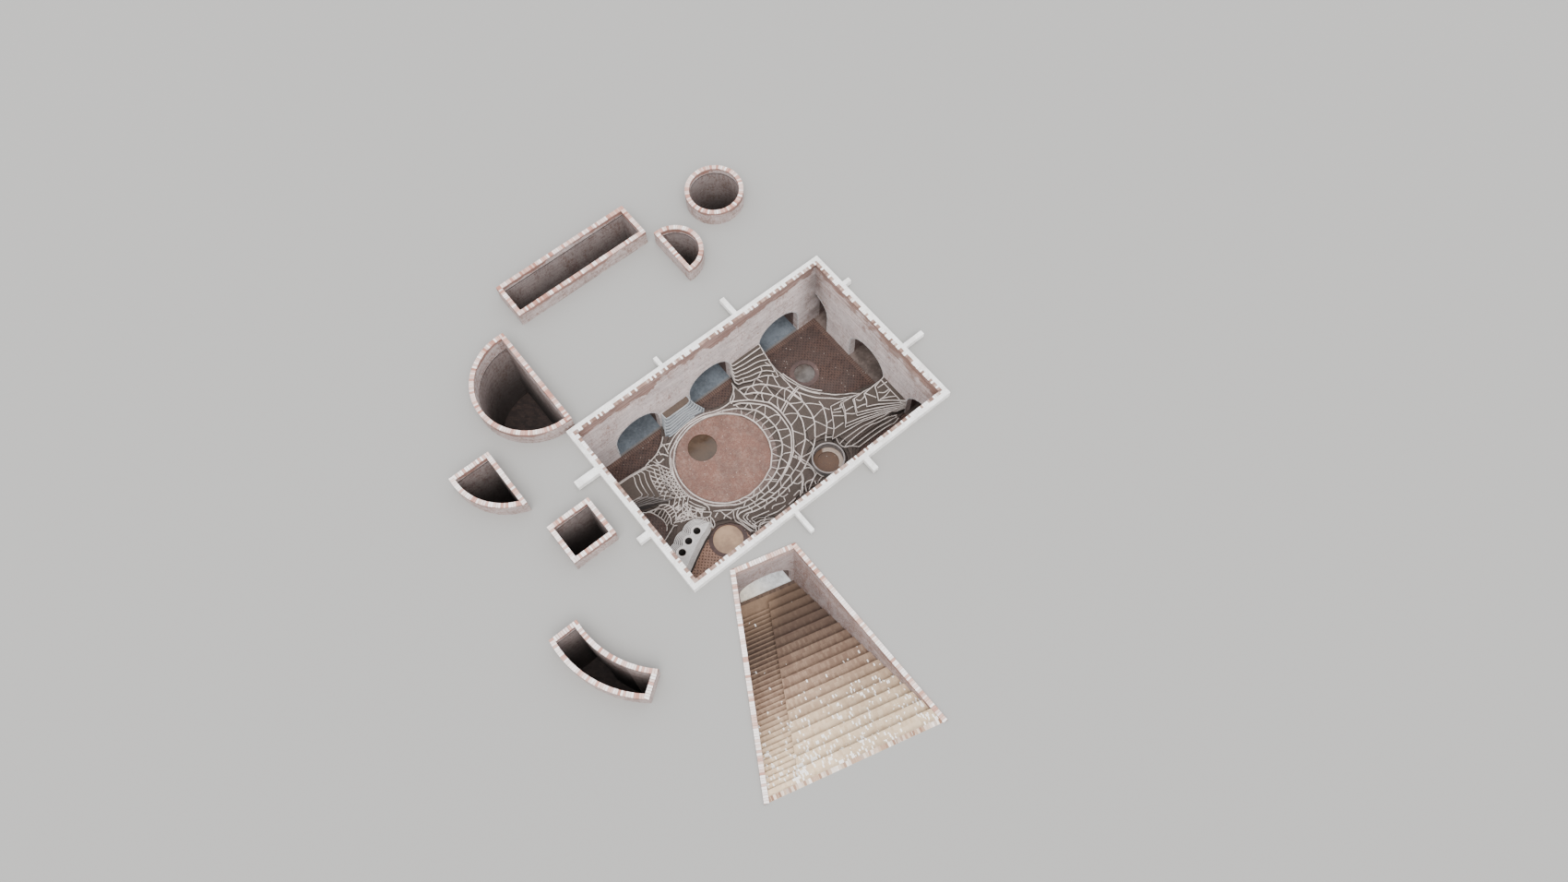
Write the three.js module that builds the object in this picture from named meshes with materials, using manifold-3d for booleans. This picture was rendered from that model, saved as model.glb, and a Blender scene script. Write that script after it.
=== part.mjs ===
// Sunken courtyard dwelling: a walled court below ground, cave rooms off its
// sides, tall light wells over their far ends and a wedge stair down.
// Millimetres, +Z up. Plan origin: the court's outer south-west corner.

import * as THREE from 'three';
import { mergeVertices } from 'three/addons/utils/BufferGeometryUtils.js';
import Module from 'manifold-3d';

const wasm = await Module();
wasm.setup();

// Driving dimensions: the court in plan
const COURT_X = 17000;
const COURT_Y = 11000;
const WALL = 420;
const BAND = 240;
const SKIN = 240;
const FIT = 0.3;

// Driving dimensions: levels above the underside of the base slab
const SLAB_TOP = 220;
const FLOOR = 280;
const COPING = 6200;
const BAND_DEPTH = 450;
const BRICK_ROW_DROP = 15;
const WELL_RIM = 6800;
const STAIR_RIM = 5850;
const GROUND = 5750;

// Driving dimensions: the arch that every opening shares
const ARCH_RADIUS = 1450;
const SPRING = 1780;
const ARCH_SEGMENTS = 14;
const ROUND_SEGMENTS = 48;
const LONG_SIDE_ARCHES = [3650, 8750, 13850];
const SHORT_SIDE_ARCHES = [900, 5880, 10860];
const BLIND_ROOM_DEPTH = 3000;

const FAR = 30000;
const FACE = { south: WALL, north: COURT_Y - WALL, west: WALL, east: COURT_X - WALL };

// Solids are closed meshes handed to the boolean library
function toSolid(geometry) {
  geometry.deleteAttribute('normal');
  geometry.deleteAttribute('uv');
  const merged = mergeVertices(geometry, 1e-3);
  return new wasm.Manifold(new wasm.Mesh({
    numProp: 3,
    vertProperties: new Float32Array(merged.attributes.position.array),
    triVerts: new Uint32Array(merged.index.array),
  }));
}

function toGeometry(solid) {
  const mesh = solid.getMesh();
  const geometry = new THREE.BufferGeometry();
  geometry.setAttribute('position', new THREE.BufferAttribute(mesh.vertProperties, 3));
  geometry.setIndex(new THREE.BufferAttribute(mesh.triVerts, 1));
  geometry.computeVertexNormals();
  return geometry;
}

function extrude(shape, depth, segments) {
  return new THREE.ExtrudeGeometry(shape, { depth, bevelEnabled: false, curveSegments: segments });
}

// A plan outline raised from one level to another
function prism(shape, bottom, top, segments = ROUND_SEGMENTS) {
  return toSolid(extrude(shape, top - bottom, segments).translate(0, 0, bottom));
}

function outline(points) {
  return new THREE.Shape(points.map(([x, y]) => new THREE.Vector2(x, y)));
}

function box(x0, x1, y0, y1, z0, z1) {
  const geometry = new THREE.BoxGeometry(x1 - x0, y1 - y0, z1 - z0);
  return toSolid(geometry.translate((x0 + x1) / 2, (y0 + y1) / 2, (z0 + z1) / 2));
}

function disc(x, y, radius, bottom, top, segments) {
  const circle = new THREE.Shape().absarc(x, y, radius, 0, 2 * Math.PI, false);
  return prism(circle, bottom, top, segments);
}

function union(solids) {
  return solids.reduce((sum, solid) => sum.add(solid));
}

function cut(solid, tools) {
  return tools.reduce((rest, tool) => rest.subtract(tool), solid);
}

// The arched section: straight jambs and a half circle over them
function archSection(centre, radius) {
  const section = new THREE.Shape();
  section.moveTo(centre - radius, SLAB_TOP);
  section.lineTo(centre + radius, SLAB_TOP);
  section.lineTo(centre + radius, SPRING);
  section.absarc(centre, SPRING, radius, 0, Math.PI, false);
  section.lineTo(centre - radius, SLAB_TOP);
  return section;
}

// The arched section swept along the plan's X or Y axis
function archTunnel(axis, centre, radius, from, to) {
  const alongY = axis === 'y';
  const geometry = extrude(archSection(alongY ? -centre : centre, radius), to - from, ARCH_SEGMENTS);
  const across = alongY ? new THREE.Vector3(-1, 0, 0) : new THREE.Vector3(0, 1, 0);
  const along = alongY ? new THREE.Vector3(0, 1, 0) : new THREE.Vector3(1, 0, 0);
  geometry.applyMatrix4(new THREE.Matrix4().makeBasis(across, new THREE.Vector3(0, 0, 1), along));
  return toSolid(geometry.translate(alongY ? 0 : from, alongY ? from : 0, 0));
}

// Materials, one per sub-part
const FINISHES = {
  brick: { color: 0xa98f88, roughness: 0.92 },
  paleBrick: { color: 0xcdbdb8, roughness: 0.9 },
  concrete: { color: 0xe4e1de, roughness: 0.85 },
  greySlab: { color: 0x8e99a4, roughness: 0.88 },
  redPaving: { color: 0x7a5b50, roughness: 0.9 },
  stepBrick: { color: 0x8d7566, roughness: 0.92 },
  greyTerrace: { color: 0xb3b5b8, roughness: 0.9 },
  earthTerrace: { color: 0x6f6256, roughness: 0.95 },
};

const base = new THREE.Group();
const court = new THREE.Group();
const rooms = new THREE.Group();
const wells = new THREE.Group();
const stair = new THREE.Group();

function addPiece(group, name, solid, finish) {
  const material = new THREE.MeshStandardMaterial({ ...FINISHES[finish], metalness: 0 });
  const mesh = new THREE.Mesh(toGeometry(solid), material);
  mesh.name = name;
  group.add(mesh);
}

// Light wells: each is a function of the inset from its outer face
const ROUND_WELL = { x: 15070, y: 17830, radius: 1670 };
const SMALL_WELL = { x: 10880, y: 16020, radius: 1620, flat: 10670 };
const BIG_WELL = { x: 250, y: 14400, radius: 3250, flat: 600 };
const QUARTER_WELL = { x: -2838, y: 11903, radius: 3336, east: -3800, north: 12310 };
const SQUARE_WELL = { west: -3770, east: -1270, south: 4630, north: 7030 };
const LONG_WELL = { west: 1880, east: 10350, south: 17970, north: 20250 };
const ARC_WELL = {
  outer: { x: -1099, y: 1498, radius: 5853 },
  inner: { x: 54, y: 1739, radius: 5384 },
  north: 2250,
  tip: { x: -3670, y: -2130, angle: Math.atan2(840, 1160) },
};

function plainBox(well, inset, bottom, top) {
  return box(well.west + inset, well.east - inset, well.south + inset, well.north - inset, bottom, top);
}

function arcWellSolid(inset, bottom, top) {
  const { outer, inner, north, tip } = ARC_WELL;
  const convex = disc(outer.x, outer.y, outer.radius - inset, bottom, top);
  const concave = disc(inner.x, inner.y, inner.radius + inset, 0, WELL_RIM + 1);
  const aboveTip = box(-FAR, FAR, 0, FAR, bottom, top)
    .rotate([0, 0, THREE.MathUtils.radToDeg(tip.angle)])
    .translate([tip.x - inset * Math.sin(tip.angle), tip.y + inset * Math.cos(tip.angle), 0]);
  const belowNorthEnd = box(-FAR, inner.x, -FAR, north - inset, bottom, top);
  return convex.subtract(concave).intersect(aboveTip).intersect(belowNorthEnd);
}

const WELL_SHAPES = {
  long_well: (inset, bottom, top) => plainBox(LONG_WELL, inset, bottom, top),
  square_well: (inset, bottom, top) => plainBox(SQUARE_WELL, inset, bottom, top),
  round_well: (inset, bottom, top) =>
    disc(ROUND_WELL.x, ROUND_WELL.y, ROUND_WELL.radius - inset, bottom, top),
  half_round_well: (inset, bottom, top) =>
    disc(BIG_WELL.x, BIG_WELL.y, BIG_WELL.radius - inset, bottom, top)
      .intersect(box(-FAR, BIG_WELL.flat - inset, -FAR, FAR, bottom, top)),
  small_half_round_well: (inset, bottom, top) =>
    disc(SMALL_WELL.x, SMALL_WELL.y, SMALL_WELL.radius - inset, bottom, top)
      .intersect(box(SMALL_WELL.flat + inset, FAR, -FAR, FAR, bottom, top)),
  quarter_well: (inset, bottom, top) =>
    disc(QUARTER_WELL.x, QUARTER_WELL.y, QUARTER_WELL.radius - inset, bottom, top)
      .intersect(box(-FAR, QUARTER_WELL.east - inset, -FAR, QUARTER_WELL.north - inset, bottom, top)),
  arc_well: arcWellSolid,
};

// The stair pit: four straight sides, each an outward direction and a distance
const STAIR_SKEW = THREE.MathUtils.degToRad(15.4);
const LEFT_LEAN = THREE.MathUtils.degToRad(30.1);
const STAIR_SIDES = {
  end: { x: Math.sin(STAIR_SKEW), y: Math.cos(STAIR_SKEW), distance: 341 },
  right: { x: 1, y: 0, distance: 5460 },
  foot: { x: -Math.sin(STAIR_SKEW), y: -Math.cos(STAIR_SKEW), distance: 10543 },
  left: { x: -Math.cos(LEFT_LEAN), y: Math.sin(LEFT_LEAN), distance: -1877 },
};

// A line of the pit moved inwards
function line(name, inset) {
  const { x, y, distance } = STAIR_SIDES[name];
  return { x, y, distance: distance - inset };
}

function corner(a, b) {
  const det = a.x * b.y - a.y * b.x;
  return [(a.distance * b.y - b.distance * a.y) / det, (a.x * b.distance - b.x * a.distance) / det];
}

// A four-sided plan outline between an upper, a lower, a left and a right line
function between(upper, lower, left, right) {
  return outline([corner(left, lower), corner(lower, right), corner(right, upper), corner(upper, left)]);
}

const pitOutline = (inset) =>
  between(line('end', inset), line('foot', inset), line('left', inset), line('right', inset));

// Rooms: vaults from the court's arches to the wells or to a plain end wall
const NORTH_ROOM_3_END = 17000;
const TUNNEL_END = -1500;
const SIDE_DOOR = { y: 15900, radius: 550 };
const LINK = { x: -1300, radius: 900 };
const ARC_WELL_FACE = -5330;
const EAST_ROOM_END = COURT_X + BLIND_ROOM_DEPTH;

function clipped(axis, solid, low, high) {
  const bounds = axis === 'y'
    ? box(low, high, -FAR, FAR, 0, COPING)
    : box(-FAR, FAR, low, high, 0, COPING);
  return solid.intersect(bounds);
}

// A vault's shell and clear inside; low and high are the clear limits across it
function vault(axis, centre, inside, shell, { low = -FAR, high = FAR } = {}) {
  return {
    inside: clipped(axis, archTunnel(axis, centre, ARCH_RADIUS, ...inside), low, high),
    shell: clipped(axis, archTunnel(axis, centre, ARCH_RADIUS + SKIN, ...shell), low - SKIN, high + SKIN),
  };
}

const [LONG_1, LONG_2, LONG_3] = LONG_SIDE_ARCHES;
const [SHORT_1, SHORT_2, SHORT_3] = SHORT_SIDE_ARCHES;
const longRoom = [COURT_Y, LONG_WELL.south];
const eastInside = [COURT_X, EAST_ROOM_END];
const eastShell = [COURT_X, EAST_ROOM_END + SKIN];
const southInside = [-BLIND_ROOM_DEPTH, 0];
const southShell = [-BLIND_ROOM_DEPTH - SKIN, 0];
const ROOMS = {
  north_room_1: vault('y', LONG_1, longRoom, longRoom),
  north_room_2: vault('y', LONG_2, longRoom, longRoom),
  north_room_3: vault('y', LONG_3, [COURT_Y, NORTH_ROOM_3_END - SKIN], [COURT_Y, NORTH_ROOM_3_END]),
  east_room_1: vault('x', SHORT_3, eastInside, eastShell, { high: FACE.north }),
  east_room_2: vault('x', SHORT_2, eastInside, eastShell),
  east_room_3: vault('x', SHORT_1, eastInside, eastShell, { low: FACE.south }),
  south_room_2: vault('y', LONG_2, southInside, southShell),
  south_room_3: vault('y', LONG_3, southInside, southShell),
  stair_tunnel: vault('y', LONG_1, [TUNNEL_END, 0], [TUNNEL_END, 0]),
  west_room_1: vault('x', SHORT_3, [QUARTER_WELL.east, 0], [QUARTER_WELL.east, 0], { high: FACE.north }),
  west_room_2: vault('x', SHORT_2, [SQUARE_WELL.east, 0], [SQUARE_WELL.east, 0]),
  west_room_3: vault('x', SHORT_1, [ARC_WELL_FACE, 0], [ARC_WELL_FACE - SKIN, 0], { low: FACE.south }),
};

const linkInside = archTunnel('y', LINK.x, LINK.radius, FACE.north, BIG_WELL.y);
const linkShell = archTunnel('y', LINK.x, LINK.radius + SKIN, FACE.north + SKIN, BIG_WELL.y);
const sideDoor = archTunnel('x', SIDE_DOOR.y, SIDE_DOOR.radius, SMALL_WELL.x, LONG_3);

// A doorway's column, cut to the clear width of the well behind it
function doorway(axis, centre, reach, low, high) {
  return clipped(axis, archTunnel(axis, centre, ARCH_RADIUS, ...reach), low, high);
}

const longWellDoor = (centre) => doorway(
  'y',
  centre,
  [COURT_Y, LONG_WELL.south + SKIN + 1],
  LONG_WELL.west + SKIN,
  LONG_WELL.east - SKIN,
);
const arcWellDoor = doorway('x', SHORT_1, [ARC_WELL_FACE - SKIN, 0], FACE.south, ARC_WELL.north - SKIN);
const DOORWAYS = {
  long_well: [longWellDoor(LONG_1), longWellDoor(LONG_2)],
  round_well: [ROOMS.north_room_3.inside],
  small_half_round_well: [sideDoor],
  half_round_well: [linkInside],
  quarter_well: [doorway('x', SHORT_3, [QUARTER_WELL.east - SKIN - 1, 0], -FAR, FACE.north)],
  square_well: [doorway(
    'x',
    SHORT_2,
    [SQUARE_WELL.east - SKIN - 1, 0],
    SQUARE_WELL.south + SKIN,
    SQUARE_WELL.north - SKIN,
  )],
  arc_well: [arcWellDoor],
};

const wellColumn = (name) => WELL_SHAPES[name](-FIT, 0, WELL_RIM);
const ROOM_CUTS = {
  north_room_3: [wellColumn('round_well'), wellColumn('small_half_round_well'), sideDoor],
  stair_tunnel: [prism(pitOutline(-FIT), 0, COPING)],
  west_room_1: [linkInside],
  west_room_3: [arcWellDoor, wellColumn('arc_well')],
};

for (const [name, room] of Object.entries(ROOMS)) {
  addPiece(rooms, name, cut(room.shell, [room.inside, ...(ROOM_CUTS[name] ?? [])]), 'brick');
}
addPiece(rooms, 'link_vault', cut(linkShell, [linkInside, wellColumn('half_round_well')]), 'brick');

for (const [name, shape] of Object.entries(WELL_SHAPES)) {
  const shaft = shape(0, SLAB_TOP, WELL_RIM).subtract(shape(SKIN, 0, WELL_RIM + 1));
  addPiece(wells, name, cut(shaft, DOORWAYS[name]), 'paleBrick');
}

// Court walls, with the arches cut through and a rebate for the coping band
const WALL_TOP = COPING - BRICK_ROW_DROP;
const wallSolids = {
  north_wall: box(0, COURT_X, FACE.north, COURT_Y, SLAB_TOP, WALL_TOP),
  south_wall: box(0, COURT_X, 0, FACE.south, SLAB_TOP, WALL_TOP),
  east_wall: box(FACE.east, COURT_X, FACE.south, FACE.north, SLAB_TOP, WALL_TOP),
  west_wall: box(0, FACE.west, FACE.south, FACE.north, SLAB_TOP, WALL_TOP),
};
const rebate = box(0, COURT_X, 0, COURT_Y, COPING - BAND_DEPTH, COPING)
  .subtract(box(BAND, COURT_X - BAND, BAND, COURT_Y - BAND, 0, COPING + 1));

for (const [name, wall] of Object.entries(wallSolids)) {
  const alongX = name === 'north_wall' || name === 'south_wall';
  const arches = alongX
    ? LONG_SIDE_ARCHES.map((centre) => archTunnel('y', centre, ARCH_RADIUS, -1, COURT_Y + 1))
    : SHORT_SIDE_ARCHES.map((centre) => archTunnel('x', centre, ARCH_RADIUS, -1, COURT_X + 1));
  addPiece(court, name, cut(wall, [rebate, ...arches]), 'brick');
}

// Coping bands of white concrete, with the stubs of tie beams cast on
const STUB_DEPTH = 350;
const COPINGS = {
  north_coping: {
    zone: [0, COURT_X, COURT_Y - BAND, COURT_Y],
    stubs: [[6050, 6280, 11580], [11040, 11320, 12180]],
  },
  south_coping: {
    zone: [0, COURT_X, 0, BAND],
    stubs: [[6350, 6580, -1310], [10950, 11260, -810]],
  },
  east_coping: {
    zone: [COURT_X - BAND, COURT_X, BAND, COURT_Y - BAND],
    stubs: [[8540, 8800, 17430], [3500, 3760, 18290]],
  },
  west_coping: {
    zone: [0, BAND, BAND, COURT_Y - BAND],
    stubs: [[8000, 8420, -1300], [3600, 3950, -610]],
  },
};

for (const [name, { zone, stubs }] of Object.entries(COPINGS)) {
  const [x0, x1, y0, y1] = zone;
  const band = box(x0, x1, y0, y1, COPING - BAND_DEPTH, COPING);
  const alongX = x1 - x0 > y1 - y0;
  const beams = stubs.map(([low, high, reach]) => (alongX
    ? box(low, high, Math.min(reach, y0), Math.max(reach, y1), COPING - STUB_DEPTH, COPING)
    : box(Math.min(reach, x0), Math.max(reach, x1), low, high, COPING - STUB_DEPTH, COPING)));
  addPiece(court, name, union([band, ...beams]), 'concrete');
}

// The court's round places
const PLAZA = { x: 6720, y: 6800, radius: 2750, ringWidth: 320, ringRise: 110 };
const POOLS = [
  { x: 6150, y: 8080, radius: 850 },
  { x: 13750, y: 8050, radius: 620 },
  { x: 3900, y: 2780, radius: 850 },
];
const TUB = { x: 11150, y: 2800, radius: 950, bore: 870, height: 670, bench: 230, benchHeight: 90 };
const POOL_DEPTH = 120;

// Low paved grounds: an open curve inside the court, closed well beyond the walls
const GROUNDS = [
  {
    curve: [[5150, 10700], [4300, 9600], [3300, 9250], [2200, 9200], [1200, 9300], [300, 9400]],
    close: [[-500, 8800], [-500, 11300], [5700, 11300]],
  },
  {
    curve: [[10300, 10700], [9750, 9900], [9100, 9480], [8200, 9560], [7600, 9950], [7250, 10700]],
    close: [[6700, 11300], [10900, 11300]],
  },
  {
    curve: [[16700, 4850], [14800, 5400], [13600, 6650], [12900, 8000], [12600, 9300], [12450, 10700]],
    close: [[11900, 11300], [17500, 11300], [17500, 4300]],
  },
  {
    curve: [[300, 4650], [1450, 5000], [1850, 5950], [1450, 6900], [300, 7250]],
    close: [[-500, 7800], [-500, 4100]],
  },
  {
    curve: [
      [300, 2300], [1200, 2750], [2250, 3250], [3100, 3650], [3650, 3760], [4040, 3720], [4510, 3490],
      [4850, 3170], [5080, 2600], [5150, 1500], [5100, 300],
    ],
    close: [[5650, -300], [-500, -300], [-500, 3100]],
  },
  {
    curve: [[7300, 300], [7700, 1450], [8750, 1900], [9800, 1450], [10200, 300]],
    close: [[10750, -300], [6750, -300]],
  },
  {
    curve: [[12430, 300], [12450, 1500], [13000, 2300], [14300, 2350], [15600, 2300], [16700, 2350]],
    close: [[17500, 3000], [17500, -300], [11900, -300]],
  },
];
const CURVE_POINTS = 12;

function smooth(points, count) {
  return new THREE.SplineCurve(points.map(([x, y]) => new THREE.Vector2(x, y))).getSpacedPoints(count);
}

// An open curve moved outwards, away from the ground or mound it bounds
function grown(points, amount) {
  const side = Math.sign(THREE.ShapeUtils.area(points));
  return points.map((point, index) => {
    const before = points[Math.max(index - 1, 0)];
    const after = points[Math.min(index + 1, points.length - 1)];
    const run = new THREE.Vector2().subVectors(after, before).setLength(amount * side);
    return [point.x + run.y, point.y - run.x];
  });
}

function groundColumn({ curve, close }, grow) {
  return prism(outline([...grown(smooth(curve, CURVE_POINTS), grow), ...close]), 0, COPING);
}

// Mounds against the walls: courses that climb from a foot curve to a top curve, or that each
// have an outline. The courses start at the floor, or at a sill level with the terraces.
const MOUND_COURSES = 7;
const MOUND_SILL = 600;
const MOUNDS = {
  north_mound_1: {
    foot: [
      [5200, 10580], [5000, 10050], [4850, 9750], [5600, 9750],
      [6700, 9900], [7700, 9720], [7500, 10150], [7250, 10580],
    ],
    top: [
      [5300, 10580], [5300, 10300], [5350, 10150], [5700, 10130],
      [6300, 10130], [6900, 10150], [7080, 10300], [7080, 10580],
    ],
    height: 1600,
    finish: 'greyTerrace',
  },
  north_mound_2: {
    foot: [
      [10200, 10580], [10050, 10100], [10000, 9680], [10370, 9560], [10780, 9350], [11190, 9250],
      [11590, 9100], [11890, 8880], [12150, 8500], [12300, 9200], [12400, 9900], [12400, 10580],
    ],
    top: [
      [10300, 10580], [10280, 10500], [10300, 10420], [10600, 10390], [11000, 10370], [11400, 10365],
      [11800, 10360], [12000, 10360], [12300, 10365], [12340, 10430], [12360, 10500], [12370, 10580],
    ],
    courses: 6,
    sill: MOUND_SILL,
    height: 1600,
    finish: 'earthTerrace',
  },
  south_east_mound: {
    outlines: [
      [
        [16580, 2370], [16060, 2510], [15710, 2720], [15120, 2940], [14570, 3110], [14090, 3270],
        [12880, 3420], [12040, 3510], [12480, 3890], [12660, 4110], [13020, 4670], [13300, 5150],
        [14030, 5020], [14590, 4800], [15190, 4600], [15720, 4460], [16580, 4425],
      ],
      [
        [16580, 2375], [16080, 2520], [15700, 2730], [15120, 2960], [14560, 3150], [14240, 3270],
        [13740, 3400], [13050, 3560], [13360, 3920], [13610, 4290], [13830, 4860], [14590, 4770],
        [15190, 4580], [15720, 4440], [16580, 4420],
      ],
      [
        [16580, 2380], [16150, 2530], [15690, 2780], [15130, 3020], [14610, 3220], [14080, 3420],
        [13180, 3670], [13440, 3990], [13690, 4350], [13900, 4800], [14590, 4740], [15190, 4560],
        [15720, 4420], [16580, 4410],
      ],
      [
        [16580, 2385], [16180, 2540], [15600, 2860], [15000, 3160], [14430, 3410], [13950, 3600],
        [14050, 3840], [14250, 4150], [14420, 4520], [15190, 4520], [15720, 4400], [16580, 4400],
      ],
      [
        [16580, 2390], [16260, 2540], [15640, 2920], [15040, 3230], [14480, 3490], [14030, 3690],
        [14120, 3900], [14300, 4200], [14470, 4480], [15190, 4480], [15720, 4380], [16580, 4390],
      ],
      [
        [16580, 2395], [16320, 2560], [15680, 2990], [15300, 3260], [15000, 3430], [14640, 3590],
        [14890, 3900], [15050, 4300], [15720, 4350], [16580, 4380],
      ],
      [
        [16580, 2400], [16360, 2590], [16100, 2830], [15760, 3100], [15350, 3400], [15590, 3800],
        [15780, 4200], [16580, 4370],
      ],
    ],
    sill: MOUND_SILL,
    height: 1600,
    finish: 'greyTerrace',
  },
  west_mound: {
    foot: [
      [420, 9080], [1900, 9000], [3000, 8800], [3380, 8470], [3200, 8000], [3060, 7450], [2960, 6900],
      [2850, 6480], [1910, 6820], [1030, 7180], [420, 7250],
    ],
    top: [
      [420, 8700], [1200, 8680], [1650, 8660], [1860, 8590], [1700, 8200], [1620, 7900], [1590, 7600],
      [1570, 7340], [1250, 7380], [800, 7420], [420, 7440],
    ],
    courses: 6,
    sill: MOUND_SILL,
    height: 1400,
    finish: 'earthTerrace',
  },
  crater_mound: {
    foot: [
      [420, 2080], [1200, 2530], [1720, 2820], [2250, 3100], [2760, 3360], [3200, 3520],
      [3620, 3780], [3150, 4060], [2670, 4120], [1970, 3920], [1310, 3620], [420, 3400],
    ],
    top: [
      [420, 2300], [1150, 2700], [1640, 2980], [2180, 3260], [2690, 3500], [3120, 3650],
      [3500, 3860], [3100, 4000], [2670, 4060], [1970, 3880], [1310, 3580], [420, 3360],
    ],
    lobes: { radius: 330, step: 100, side: 7, behind: [[3800, 5500], [420, 5500]] },
    courses: 6,
    sill: MOUND_SILL,
    height: 1150,
    finish: 'greyTerrace',
  },
  south_mound_1: {
    foot: [
      [5200, 420], [5250, 1600], [5400, 2600], [5800, 2700],
      [6400, 2300], [6900, 1700], [7150, 1100], [7200, 420],
    ],
    top: [
      [5350, 420], [5350, 700], [5450, 850], [5800, 870],
      [6300, 870], [6850, 850], [7000, 700], [7050, 420],
    ],
    height: 1600,
    finish: 'earthTerrace',
  },
  south_mound_2: {
    foot: [
      [10300, 420], [10250, 1200], [10400, 1600], [10900, 1700],
      [11500, 1700], [12100, 1600], [12250, 1200], [12300, 420],
    ],
    top: [
      [10450, 420], [10450, 700], [10550, 850], [10900, 870],
      [11500, 870], [12000, 850], [12130, 700], [12150, 420],
    ],
    height: 1600,
    finish: 'earthTerrace',
  },
};
const CRATERS = [[1310, 3410], [1970, 3710], [2670, 3890]];
const CRATER_RADIUS = 230;
const CRATER_SEGMENTS = 32;

const MOUND_POINTS = 22;

// The plan outlines of a mound's courses, from the lowest up
function courseOutlines({ outlines, foot, top, courses, lobes }) {
  if (outlines) {
    return outlines;
  }
  const count = courses ?? MOUND_COURSES;
  return Array.from({ length: count }, (unused, course) => {
    const share = course / (count - 1);
    const points = foot.map(([x, y], index) => [
      THREE.MathUtils.lerp(x, top[index][0], share),
      THREE.MathUtils.lerp(y, top[index][1], share),
    ]);
    return lobes ? points : smooth(points, courses ? MOUND_POINTS : CURVE_POINTS).map((point) => point.toArray());
  });
}

// A course as a column: its outline, and round each crater a lobe that is wider the lower it lies,
// except past the outline's first side
function courseColumn({ courses, lobes }, points, course, [bottom, top], gap = 0) {
  const column = prism(outline(points), bottom, top);
  if (!lobes) {
    return column;
  }
  const radius = lobes.radius + (courses - 1 - course) * lobes.step + gap;
  const round = union(CRATERS.map(([x, y]) => disc(x, y, radius, bottom, top, CRATER_SEGMENTS)));
  const behind = prism(outline([...points.slice(0, lobes.side), ...lobes.behind]), bottom, top);
  return column.add(round.intersect(behind));
}

function moundSolid(mound) {
  const outlines = courseOutlines(mound);
  const sill = mound.sill ?? 0;
  const rise = (mound.height - sill) / outlines.length;
  const courses = outlines.map((points, course) => (
    courseColumn(mound, points, course, [FLOOR, FLOOR + sill + (course + 1) * rise])
  ));
  return union(courses).intersect(courseColumn(mound, outlines[0], 0, [0, COPING]));
}

// A mound's footprint with a fit gap round it, except along the wall
function moundColumn(mound) {
  const [foot] = courseOutlines(mound);
  const points = foot.map(([x, y]) => new THREE.Vector2(x, y));
  return courseColumn(mound, foot, 0, [0, COPING], FIT).add(prism(outline(grown(points, FIT)), 0, COPING));
}

const plazaColumn = disc(PLAZA.x, PLAZA.y, PLAZA.radius + PLAZA.ringWidth + FIT, 0, COPING);
for (const [name, mound] of Object.entries(MOUNDS)) {
  const holes = name === 'crater_mound'
    ? CRATERS.map(([x, y]) => disc(x, y, CRATER_RADIUS, 0, COPING, CRATER_SEGMENTS))
    : [];
  addPiece(court, name, cut(moundSolid(mound), [plazaColumn, ...holes]), mound.finish);
}

// Terraces ring the plaza and climb away from it and from the paved grounds
const TERRACE_RISE = 150;
const TERRACE_BACK = 170;
const TERRACE_RADII = [3080, 3400, 4200, 4950];

function terrace(radius, level) {
  const top = FLOOR + (level + 1) * TERRACE_RISE;
  const whole = box(FACE.west, FACE.east, FACE.south, FACE.north, FLOOR, top);
  const grow = FIT + level * TERRACE_BACK;
  const plaza = disc(PLAZA.x, PLAZA.y, radius, 0, COPING);
  const tub = disc(TUB.x, TUB.y, TUB.radius + grow, 0, COPING);
  return cut(whole, [plaza, tub, ...GROUNDS.map((ground) => groundColumn(ground, grow))]);
}

const mounds = union(Object.values(MOUNDS).map(moundColumn));
const terraceBodies = union(TERRACE_RADII.map(terrace)).subtract(mounds).decompose();
const [mainTerraces] = terraceBodies.sort((a, b) => b.volume() - a.volume());
addPiece(court, 'garden_terraces', mainTerraces, 'earthTerrace');

// A raised ring of brick round the plaza, and a round tub with a bench inside
const plazaRing = disc(PLAZA.x, PLAZA.y, PLAZA.radius + PLAZA.ringWidth, FLOOR, FLOOR + PLAZA.ringRise)
  .subtract(disc(PLAZA.x, PLAZA.y, PLAZA.radius, 0, COPING));
addPiece(court, 'plaza_ring', plazaRing, 'redPaving');

const tubRim = disc(TUB.x, TUB.y, TUB.radius, FLOOR, FLOOR + TUB.height)
  .subtract(disc(TUB.x, TUB.y, TUB.bore, 0, COPING));
const tubBench = disc(TUB.x, TUB.y, TUB.radius, FLOOR, FLOOR + TUB.benchHeight)
  .subtract(disc(TUB.x, TUB.y, TUB.bore - TUB.bench, 0, COPING));
addPiece(court, 'round_tub', tubRim.add(tubBench), 'concrete');

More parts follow.
